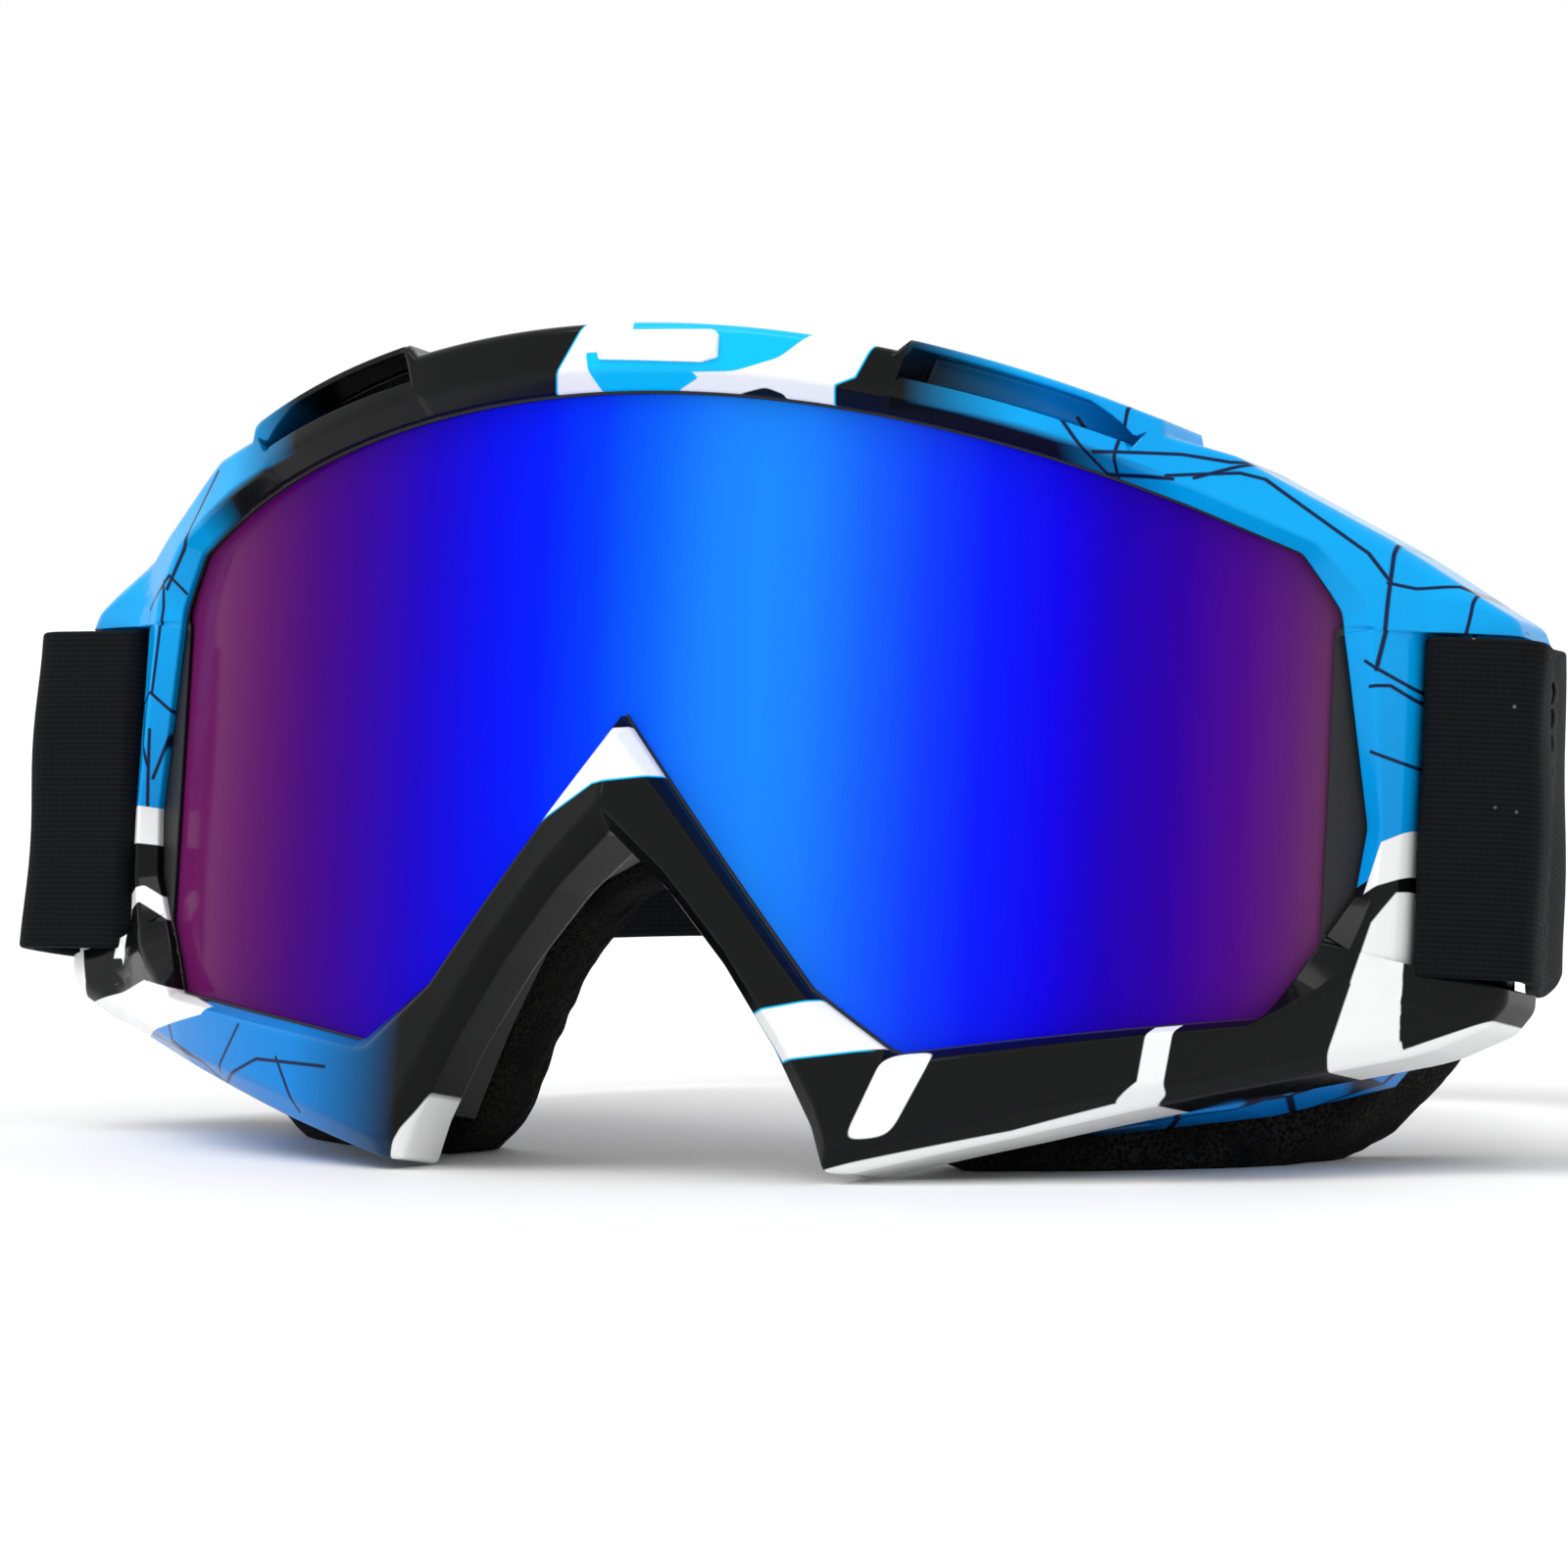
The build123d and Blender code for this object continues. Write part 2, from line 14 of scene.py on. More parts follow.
import bpy
import numpy as np
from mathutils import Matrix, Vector


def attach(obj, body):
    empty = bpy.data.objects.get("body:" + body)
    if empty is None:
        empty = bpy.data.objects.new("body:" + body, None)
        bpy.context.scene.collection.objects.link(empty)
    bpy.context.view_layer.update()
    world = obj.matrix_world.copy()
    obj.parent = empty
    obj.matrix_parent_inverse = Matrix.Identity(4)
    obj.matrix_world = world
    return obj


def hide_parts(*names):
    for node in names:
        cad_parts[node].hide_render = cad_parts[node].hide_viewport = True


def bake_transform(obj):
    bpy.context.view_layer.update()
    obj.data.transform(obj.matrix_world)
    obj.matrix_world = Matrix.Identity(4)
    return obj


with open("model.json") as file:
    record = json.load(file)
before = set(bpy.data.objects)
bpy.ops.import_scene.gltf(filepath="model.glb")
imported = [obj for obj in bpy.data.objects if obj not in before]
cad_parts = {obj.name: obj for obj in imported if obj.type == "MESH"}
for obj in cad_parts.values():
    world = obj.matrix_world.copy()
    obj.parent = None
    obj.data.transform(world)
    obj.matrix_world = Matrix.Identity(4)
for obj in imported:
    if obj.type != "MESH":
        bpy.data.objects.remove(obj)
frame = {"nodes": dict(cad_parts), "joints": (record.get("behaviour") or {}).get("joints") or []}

MM = 0.001
LOG = logging.getLogger("goggles")

Colour = tuple[float, float, float]
Point = tuple[float, float]
Patch = tuple[Point, ...]
Corner = tuple[float, float, float]


class Body(str, Enum):
    """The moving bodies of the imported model."""

    FRAME = "frame"
    STRAP = "strap"
    SLIDER = "slider"


class Side(int, Enum):
    """Left or right of the wearer's middle, as the sign of X."""

    LEFT = -1
    RIGHT = 1


# ------------------------------------------------------------------ places and curves


@dataclass(frozen=True)
class Wrap:
    """The plan curve of the goggles: an arc that runs on straight, then flares into the strap arms."""

    radius: float = 98.4
    half_width: float = 66.0
    arm_from: float = 80.2
    arm_slope: float = math.tan(math.radians(14.5))

    def depth(self, x: np.ndarray, behind: np.ndarray) -> np.ndarray:
        """Depth Y of a point, from its X and how far behind the wrap line it lies.

        On the arc Y is radius - sqrt((radius - behind)^2 - x^2); past the arc's end it runs on
        along the tangent there, and past the strap slot along the arm's flatter slope.

        Args:
            x: distance across, mm.
            behind: distance behind the wrap line, mm.

        Returns:
            Y in mm, the shape of the two inputs together.
        """
        side, arm = np.minimum(np.abs(x), self.arm_from), np.maximum(np.abs(x) - self.arm_from, 0.0)
        sine = self.half_width / self.radius
        cosine = math.sqrt(1 - sine**2)
        near = self.radius - behind
        arc = self.radius - np.sqrt(np.maximum(near**2 - side**2, 0.0))
        straight = self.radius * (1 - cosine) + (side - self.half_width) * sine / cosine + behind / cosine
        return np.where(side < near * sine, arc, straight) + arm * self.arm_slope


@dataclass(frozen=True)
class Standing:
    """How the goggles stand: drawn upright in mm, leaned back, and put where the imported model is."""

    lean: float = math.radians(7.7)
    bar_middle: tuple[float, float] = (86.6, 1.98)
    strap_height: float = -5.2

    def tilt_point(self) -> np.ndarray:
        """The strap's tilt axis in the row frame, in metres."""
        joint = next(joint for joint in frame["joints"] if joint["name"] == "strap_tilt")
        return np.array(joint["pos_m"], float)

    def drawn_tilt(self) -> np.ndarray:
        """The same axis where the goggles are drawn, in mm."""
        x, behind = self.bar_middle
        return np.array([0.0, float(Wrap().depth(x, behind)), self.strap_height])

    def leaned(self, points: np.ndarray, lean: np.ndarray | float) -> np.ndarray:
        """Points about the tilt axis in mm, turned back by a lean about X, in row metres."""
        cosine, sine = np.cos(lean), np.sin(lean)
        x, y, z = points[..., 0], points[..., 1], points[..., 2]
        turned = np.stack([x, y * cosine + z * sine, z * cosine - y * sine], axis=-1)
        return turned * MM + self.tilt_point()

    def goggles(self, points: np.ndarray) -> np.ndarray:
        """Drawn points in mm to the row frame in metres."""
        return self.leaned(points - self.drawn_tilt(), self.lean)


WRAP = Wrap()
STANDING = Standing()


def rounded(points: np.ndarray, reach: np.ndarray, steps: int, closed: bool) -> np.ndarray:
    """Round the corners of many paths at once.

    Each corner P becomes the quadratic Bezier curve between the points that lie `reach` along the
    two runs that meet there, with P as its control point, and no reach passes 0.45 of a run.

    Args:
        points: (..., corners, dimensions) path corners.
        reach: (corners,) how far each curve starts from its corner.
        steps: pieces of each curve.
        closed: whether the last corner joins the first; an open path keeps its two ends.

    Returns:
        (..., new points, dimensions).
    """
    back = np.roll(points, 1, axis=-2) - points
    ahead = np.roll(points, -1, axis=-2) - points
    reach = np.array(np.broadcast_to(reach, points.shape[:-1]), float)
    if not closed:
        reach[..., 0] = reach[..., -1] = 0.0
    tiny = 1e-9
    back_share = np.minimum(reach / np.maximum(np.linalg.norm(back, axis=-1), tiny), 0.45)
    ahead_share = np.minimum(reach / np.maximum(np.linalg.norm(ahead, axis=-1), tiny), 0.45)
    start = (points + back * back_share[..., None])[..., None, :]
    end = (points + ahead * ahead_share[..., None])[..., None, :]
    corner = points[..., None, :]
    t = np.linspace(0, 1, steps + 1)[:, None]
    curve = (1 - t) ** 2 * start + 2 * t * (1 - t) * corner + t**2 * end
    path = curve.reshape(*points.shape[:-2], -1, points.shape[-1])
    return path if closed else path[..., steps : path.shape[-2] - steps, :]


def subdivided(path: np.ndarray, longest: float, across: int = 3) -> np.ndarray:
    """Split the runs of one path evenly so that none is longer than a limit.

    Args:
        path: (points, columns).
        longest: the limit, measured on the first `across` columns.
        across: how many columns count as distance.

    Returns:
        (more points, columns).
    """
    run = np.linalg.norm(np.diff(path[:, :across], axis=0), axis=1)
    counts = np.maximum(1, np.ceil(run / longest)).astype(int)
    which = np.repeat(np.arange(len(counts)), counts)
    first = np.concatenate([[0], np.cumsum(counts)[:-1]])
    share = (np.arange(len(which)) - first[which]) / counts[which]
    split = path[which] + (path[which + 1] - path[which]) * share[:, None]
    return np.concatenate([split, path[-1:]])


def travelled(path: np.ndarray) -> np.ndarray:
    """Distance along a path at each of its points."""
    return np.concatenate([[0.0], np.cumsum(np.linalg.norm(np.diff(path, axis=0), axis=1))])


def both_halves(half: np.ndarray) -> np.ndarray:
    """A closed ring of stations from its right half, which starts and ends at X = 0.

    A station begins with two points (x, z), so the columns 0 and 2 change sign.
    """
    other = half[-2:0:-1].copy()
    other[:, [0, 2]] *= -1
    return np.concatenate([half, other])


def arc_height(x: np.ndarray, corner: Point, top: float) -> np.ndarray:
    """Height of the arc through a corner and its mirror image with its top at x = 0."""
    rise = top - corner[1]
    radius = (corner[0] ** 2 + rise**2) / (2 * rise)
    return top - radius + np.sqrt(radius**2 - x**2)


def rectangle(half_wide: float, half_high: float) -> np.ndarray:
    """Corners of a rectangle about the origin, counterclockwise, (4, 2)."""
    return np.array([(1.0, 1.0), (-1.0, 1.0), (-1.0, -1.0), (1.0, -1.0)]) * (half_wide, half_high)


def carried_up(section: np.ndarray, heights: np.ndarray) -> np.ndarray:
    """A plan section (points, 2) repeated at each height: (heights, points, 3)."""
    plan = np.broadcast_to(section, (len(heights), *section.shape))
    up = np.broadcast_to(heights[:, None, None], (len(heights), len(section), 1))
    return np.concatenate([plan, up], axis=-1)


def smooth_step(value: np.ndarray, low: float, high: float) -> np.ndarray:
    """0 below low, 1 above high, and 3t^2 - 2t^3 between."""
    t = np.clip((value - low) / (high - low), 0.0, 1.0)
    return t * t * (3 - 2 * t)


@dataclass(frozen=True)
class Ripple:
    """A repeatable rough field: a sum of sine waves of seeded directions, lengths and phases."""

    wavelength: tuple[float, float]
    waves: int
    seed: int

    def at(self, points: np.ndarray) -> np.ndarray:
        """The field at each point, about -1 to 1.

        Args:
            points: (..., 3) places in mm.

        Returns:
            (...) values: the waves' sum over the root of half their number.
        """
        random = np.random.default_rng(self.seed)
        direction = random.normal(size=(self.waves, 3))
        direction /= np.linalg.norm(direction, axis=1, keepdims=True)
        length = random.uniform(*self.wavelength, self.waves)
        phase = random.uniform(0, 2 * math.pi, self.waves)
        total = np.zeros(points.shape[:-1])
        for way, pitch, offset in zip(direction, length, phase):
            total += np.sin(points @ way * (2 * math.pi / pitch) + offset)
        return total / math.sqrt(self.waves / 2)


# ------------------------------------------------------------------ meshes


@dataclass
class Lattice:
    """A surface as a grid of points, with the pattern coordinates that its finish reads."""

    points: np.ndarray
    close_rows: bool = False
    close_columns: bool = False
    capped: bool = False
    pattern: np.ndarray | None = None

    def faces(self) -> list[tuple[int, ...]]:
        """Quads between neighbouring points, and end caps, all with their fronts outward."""
        rows, columns = self.points.shape[:2]
        index = np.arange(rows * columns).reshape(rows, columns)
        if self.close_rows:
            index = np.concatenate([index, index[:1]])
        if self.close_columns:
            index = np.concatenate([index, index[:, :1]], axis=1)
        quads = np.stack([index[:-1, :-1], index[:-1, 1:], index[1:, 1:], index[1:, :-1]], axis=-1).reshape(-1, 4)
        flat = self.points.reshape(-1, 3)
        centre = flat.mean(axis=0)
        a, b, c, d = (flat[quads[:, k]] - centre for k in range(4))
        volume = np.einsum("ij,ij->", np.cross(a, b), c) + np.einsum("ij,ij->", np.cross(a, c), d)
        faces = quads.tolist()
        if self.capped:
            faces += [list(range(columns))[::-1], [(rows - 1) * columns + k for k in range(columns)]]
        return [tuple(face) if volume > 0 else tuple(face[::-1]) for face in faces]


@dataclass
class Piece:
    """One named object that is made from lattices and then dressed and put on a body."""

    name: str
    lattices: list[Lattice] = field(default_factory=list)

    def build(self, level_normals: bool = True) -> bpy.types.Object:
        """Make the object, shaded smooth.

        Args:
            level_normals: weight normals by face area, so that rounded edges leave flats flat.

        Returns:
            The object at the origin, with its place in its mesh.
        """
        points, faces, pattern, first = [], [], [], 0
        for lattice in self.lattices:
            flat = lattice.points.reshape(-1, 3)
            points.append(flat)
            faces += [tuple(first + k for k in face) for face in lattice.faces()]
            pattern.append(np.zeros_like(flat) if lattice.pattern is None else lattice.pattern.reshape(-1, 3))
            first += len(flat)
        mesh = bpy.data.meshes.new(self.name)
        mesh.from_pydata(np.concatenate(points).tolist(), [], faces)
        values = mesh.attributes.new("pattern", "FLOAT_VECTOR", "POINT")
        values.data.foreach_set("vector", np.concatenate(pattern).astype(np.float32).ravel())
        mesh.polygons.foreach_set("use_smooth", np.full(len(mesh.polygons), True))
        mesh.update()
        thing = bpy.data.objects.new(self.name, mesh)
        bpy.context.scene.collection.objects.link(thing)
        if level_normals:
            weights = thing.modifiers.new("level_normals", "WEIGHTED_NORMAL")
            weights.keep_sharp = True
        LOG.info("%s: %d points, %d faces", self.name, len(mesh.vertices), len(mesh.polygons))
        return thing


def dress(thing: bpy.types.Object, material: bpy.types.Material) -> None:
    """Give a piece its one material."""
    thing.data.materials.clear()
    thing.data.materials.append(material)


def dress_node(name: str, material: bpy.types.Material) -> None:
    """Give every slot of a CAD node the same material."""
    node = frame["nodes"][name]
    for number in range(len(node.material_slots)):
        node.material_slots[number].material = material
    LOG.info("%s: finish %s", name, material.name)


# ------------------------------------------------------------------ shader building


class Wire:
    """A number inside a shader; Python arithmetic on it adds Math nodes."""

    def __init__(self, shader: "Shader", socket: bpy.types.NodeSocket) -> None:
        """Wrap an output socket of a shader."""
        self.shader = shader
        self.socket = socket

    def math(self, operation: str, *others: "Wire | float", clamp: bool = False) -> "Wire":
        """Add one Math node.

        Args:
            operation: the node's operation.
            others: its second and third inputs.
            clamp: keep the result within 0 and 1.

        Returns:
            The node's result.
        """
        node = self.shader.node("ShaderNodeMath", {"operation": operation, "use_clamp": clamp}, [self, *others])
        return Wire(self.shader, node.outputs[0])

    def __add__(self, other: "Wire | float") -> "Wire":
        """Sum."""
        return self.math("ADD", other)

    __radd__ = __add__

    def __sub__(self, other: "Wire | float") -> "Wire":
        """Difference."""
        return self.math("SUBTRACT", other)

    def __rsub__(self, other: float) -> "Wire":
        """A number less this."""
        return self.math("MULTIPLY_ADD", -1.0, other)

    def __mul__(self, other: "Wire | float") -> "Wire":
        """Product."""
        return self.math("MULTIPLY", other)

    __rmul__ = __mul__

    def __and__(self, other: "Wire") -> "Wire":
        """The lesser of two distances or masks: where both are."""
        return self.math("MINIMUM", other)

    def __or__(self, other: "Wire") -> "Wire":
        """The greater of two distances or masks: where either is."""
        return self.math("MAXIMUM", other)

    def edge(self, width: float) -> "Wire":
        """A distance as a mask: 0 to 1 across an edge of this width round 0."""
        return self.math("MULTIPLY_ADD", 1.0 / width, 0.5, clamp=True)

    def ramp(self, low: float, high: float) -> "Wire":
        """0 at low and 1 at high, and straight between."""
        return self.math("MULTIPLY_ADD", 1.0 / (high - low), -low / (high - low), clamp=True)


class Shader:
    """One material's node tree, and the few kinds of node that the finishes need."""

    def __init__(self, name: str) -> None:
        """Start an empty material."""
        self.material = bpy.data.materials.new(name)
        self.material.use_nodes = True
        self.tree = self.material.node_tree
        self.tree.nodes.clear()

    def node(self, kind: str, settings: dict | None = None, values: dict | list | None = None) -> bpy.types.Node:
        """Add a node.

        Args:
            kind: the node's type.
            settings: its properties, and "stops", a colour ramp's list of (place, colour).
            values: its inputs by name or number, each a number, a colour, a socket or a Wire.

        Returns:
            The node.
        """
        node = self.tree.nodes.new(kind)
        for key, value in (settings or {}).items():
            if key == "stops":
                while len(node.color_ramp.elements) < len(value):
                    node.color_ramp.elements.new(0.5)
                for element, (place, colour) in zip(node.color_ramp.elements, value):
                    element.position = place
                    element.color = (*colour, 1.0)
            else:
                setattr(node, key, value)
        pairs = values.items() if isinstance(values, dict) else enumerate(values or [])
        for key, value in pairs:
            source = value.socket if isinstance(value, Wire) else value
            if isinstance(source, bpy.types.NodeSocket):
                self.tree.links.new(source, node.inputs[key])
            elif isinstance(source, tuple) and node.inputs[key].type == "RGBA":
                node.inputs[key].default_value = (*source, 1.0)
            else:
                node.inputs[key].default_value = source
        return node

    def place(self) -> bpy.types.NodeSocket:
        """The point on the object."""
        return self.node("ShaderNodeTexCoord").outputs["Object"]

    def pattern(self) -> bpy.types.NodeSocket:
        """The piece's own pattern coordinates."""
        return self.node("ShaderNodeAttribute", {"attribute_name": "pattern"}).outputs["Vector"]

    def parts(self, vector: bpy.types.NodeSocket) -> tuple[Wire, Wire, Wire]:
        """The three numbers of a vector."""
        node = self.node("ShaderNodeSeparateXYZ", values=[vector])
        return tuple(Wire(self, output) for output in node.outputs)

    def vector(self, operation: str, *values: object) -> bpy.types.Node:
        """Add a Vector Math node."""
        return self.node("ShaderNodeVectorMath", {"operation": operation}, list(values))

    def noise(self, vector: bpy.types.NodeSocket, scale: float, detail: float = 2.0) -> Wire:
        """Noise of a scale, as a number about 0.5."""
        node = self.node("ShaderNodeTexNoise", values={"Vector": vector, "Scale": scale, "Detail": detail})
        return Wire(self, node.outputs[0])

    def blend(self, factor: Wire, first: object, second: object) -> bpy.types.NodeSocket:
        """Mix two colours, each a tuple or a socket."""
        node = self.node("ShaderNodeMix", {"data_type": "RGBA"}, {0: factor, 6: first, 7: second})
        return node.outputs[2]

    def bump(self, height: Wire, strength: float, distance: float) -> bpy.types.NodeSocket:
        """A normal from a height in a share of `distance` metres."""
        values = {"Height": height, "Strength": strength, "Distance": distance}
        return self.node("ShaderNodeBump", values=values).outputs[0]

    def finish(self, values: dict) -> bpy.types.Material:
        """End the tree in one Principled surface with these inputs."""
        surface = self.node("ShaderNodeBsdfPrincipled", values=values)
        self.node("ShaderNodeOutputMaterial", values={"Surface": surface.outputs[0]})
        return self.material


class FrontView:
    """The goggles' front view inside a shader, in mm, with the shapes that the print is made of."""

    def __init__(self, shader: Shader) -> None:
        """Turn the point on the object back to where the goggles are drawn."""
        self.shader = shader
        tilt, drawn = STANDING.tilt_point(), STANDING.drawn_tilt()
        sine, cosine = math.sin(STANDING.lean), math.cos(STANDING.lean)
        moved = shader.vector("SUBTRACT", shader.place(), tuple(tilt)).outputs[0]
        across, _, _ = shader.parts(moved)
        self.x = across * (1 / MM)
        height = shader.vector("DOT_PRODUCT", moved, (0.0, sine / MM, cosine / MM)).outputs["Value"]
        self.z = Wire(shader, height) + float(drawn[2])
        joined = shader.node("ShaderNodeCombineXYZ", values=[self.x, self.z, 1.0])
        self.point = joined.outputs[0]

    def beside(self, start: Point, end: Point) -> Wire:
        """Distance in mm to the left of the line from one point to another."""
        run = (end[0] - start[0], end[1] - start[1])
        length = math.hypot(*run)
        normal = (-run[1] / length, run[0] / length)
        offset = -(normal[0] * start[0] + normal[1] * start[1])
        node = self.shader.vector("DOT_PRODUCT", self.point, (*normal, offset))
        return Wire(self.shader, node.outputs["Value"])

    def patch(self, *corners: Point, soft: float = 0.0) -> Wire:
        """Distance inside a convex patch whose corners run counterclockwise.

        Args:
            corners: the corners, mm.
            soft: how much the corners are rounded, mm.

        Returns:
            The least distance inside the patch's sides, positive within.
        """
        inside = self.beside(corners[-1], corners[0])
        for start, end in zip(corners, corners[1:]):
            side = self.beside(start, end)
            inside = inside.math("SMOOTH_MIN", side, soft) if soft else inside & side
        return inside

    def stroke(self, start: Point, end: Point, half_width: float) -> Wire:
        """Distance inside a round-ended stroke between two points."""
        shader = self.shader
        run = (end[0] - start[0], end[1] - start[1], 0.0)
        square = run[0] ** 2 + run[1] ** 2
        from_start = shader.vector("SUBTRACT", self.point, (*start, 1.0)).outputs[0]
        share = shader.vector("DOT_PRODUCT", from_start, tuple(v / square for v in run)).outputs["Value"]
        share = Wire(shader, share).math("ADD", 0.0, clamp=True)
        nearest = shader.node("ShaderNodeVectorMath", {"operation": "SCALE"}, {"Vector": run, "Scale": share})
        gap = shader.vector("DISTANCE", from_start, nearest.outputs[0]).outputs["Value"]
        return half_width - Wire(shader, gap)

    def line(self, points: Patch, half_width: float) -> Wire:
        """Distance inside a stroke along several points."""
        return self.any([self.stroke(a, b, half_width) for a, b in zip(points, points[1:])])

    def any(self, shapes: list[Wire]) -> Wire:
        """Distance inside any of several shapes."""
        total = shapes[0]
        for shape in shapes[1:]:
            total = total | shape
        return total


# ------------------------------------------------------------------ finishes


@dataclass(frozen=True)
class PrintArt:
    """The dipped print's shapes in the front view, mm: convex patches, counterclockwise, and strokes."""

    whites: tuple[Patch, ...] = (
        ((-12.0, 34.0), (21.6, 34.0), (23.3, 37.1), (23.3, 52.0), (-1.6, 52.0)),
        ((20.0, 36.4), (23.3, 37.1), (25.4, 38.0), (32.0, 52.0), (10.0, 52.0)),
        ((-1.6, -7.9), (-1.6, 0.5), (-14.0, 0.5), (-14.0, -15.2)),
        ((-1.7, -7.9), (7.8, -6.2), (3.4, 0.5), (-1.7, 0.5)),
        ((20.9, -37.8), (32.4, -35.8), (26.3, -30.6), (17.4, -32.8)),
        ((76.2, -15.4), (84.0, -10.8), (84.0, -5.0), (78.0, -9.6)),
        ((75.8, -25.5), (80.2, -27.0), (82.2, -14.2), (79.3, -15.0), (77.4, -18.6)),
        ((73.0, -36.8), (80.2, -36.8), (80.2, -26.5), (76.0, -25.0)),
        ((80.0, -36.0), (94.0, -36.0), (94.0, -26.4), (80.0, -32.4)),
        ((-84.0, -11.6), (-70.0, -12.4), (-70.0, -8.2), (-84.0, -7.0)),
        ((-95.0, -36.0), (-87.6, -34.0), (-87.0, -28.0), (-88.4, -22.0), (-95.0, -22.0)),
        ((-86.0, -36.4), (-72.6, -34.6), (-70.4, -29.4), (-74.0, -28.4), (-86.0, -30.4)),
        ((-73.0, -34.6), (-59.6, -33.2), (-58.4, -32.2), (-66.0, -30.0), (-73.0, -28.6)),
        ((-28.6, -52.0), (-20.0, -52.0), (-20.0, -40.0), (-22.6, -42.4), (-25.6, -46.4)),
    )
    white_strokes: tuple[tuple[float, Patch], ...] = (
        (0.75, ((26.2, -50.2), (45.0, -44.9), (56.0, -40.9))),
        (1.2, ((56.0, -40.9), (58.3, -38.6), (59.4, -30.5))),
        (0.95, ((-71.0, -20.6), (-76.4, -18.0), (-79.8, -19.0), (-81.6, -27.5))),
    )
    pill: Patch = ((28.5, -46.3), (33.2, -45.6), (37.5, -36.0), (32.2, -36.6))
    blacks: tuple[Patch, ...] = (
        ((60.0, -60.0), (95.0, -60.0), (95.0, -10.4), (83.0, -11.4), (78.6, -12.8), (74.0, -15.3), (60.0, -23.8)),
        ((-95.0, -31.5), (-60.0, -31.5), (-60.0, -11.9), (-95.0, -11.5)),
    )
    black_over: tuple[Patch, ...] = (
        ((6.6, 30.0), (16.9, 30.0), (16.9, 36.1), (15.0, 36.8), (11.2, 36.2), (6.6, 35.1)),
        ((80.0, -31.6), (84.6, -29.2), (84.6, -20.0), (80.4, -20.0)),
        ((84.4, -29.2), (94.0, -26.8), (94.0, -20.0), (84.4, -20.0)),
        ((-86.0, -29.2), (-79.8, -28.2), (-80.6, -25.4), (-85.6, -25.4)),
        ((-2.2, -2.4), (2.2, -0.9), (0.0, 2.0)),
    )
    cyans: tuple[Patch, ...] = (
        ((-4.9, 33.5), (-0.4, 34.6), (7.4, 37.7), (5.0, 40.5), (-6.6, 40.5), (-5.7, 38.2)),
        ((-1.0, 46.0), (0.0, 41.0), (5.0, 38.2), (12.0, 38.3), (17.0, 39.9), (20.8, 43.0), (20.8, 46.0)),
    )
    cracks: tuple[Patch, ...] = (
        ((50.0, 31.0), (58.5, 31.4), (63.0, 31.0), (67.0, 31.6)),
        ((57.2, 28.9), (63.9, 29.9), (66.1, 29.5), (75.5, 22.4), (77.6, 19.4)),
        ((59.8, 28.9), (66.0, 31.6)),
        ((77.7, 25.0), (77.4, 14.0), (76.8, 9.5)),
        ((77.4, 19.3), (79.7, 19.0), (83.9, 19.6), (88.0, 18.2)),
        ((86.0, 21.0), (84.6, 12.0)),
        ((75.6, 10.4), (81.5, 6.8)),
        ((76.2, 7.6), (78.0, 7.9), (82.0, 5.2)),
        ((76.4, 0.4), (81.6, -1.4)),
        ((46.0, 35.5), (50.7, 28.9), (57.8, 28.6)),
        ((53.6, 38.0), (51.6, 28.0)),
        ((-63.0, 30.5), (-70.4, 23.0), (-74.6, 18.0)),
        ((-78.6, 16.0), (-73.9, 19.5), (-72.0, 17.5)),
        ((-75.0, 19.0), (-76.6, 5.8)),
        ((-80.6, 4.2), (-76.8, 5.9), (-73.6, 3.2), (-76.4, -4.2)),
        ((-79.2, 4.6), (-76.9, -3.0), (-76.8, 1.5)),
        ((-76.9, -3.0), (-77.0, -7.4)),
        ((-72.2, -34.6), (-60.0, -38.4), (-56.7, -40.6)),
        ((-67.3, -33.4), (-66.0, -36.0), (-58.9, -38.9)),
        ((-57.0, -41.4), (-48.5, -38.6), (-37.0, -39.6)),
        ((-45.0, -38.5), (-41.4, -44.6)),
        ((-52.0, -34.6), (-56.0, -39.8)),
    )


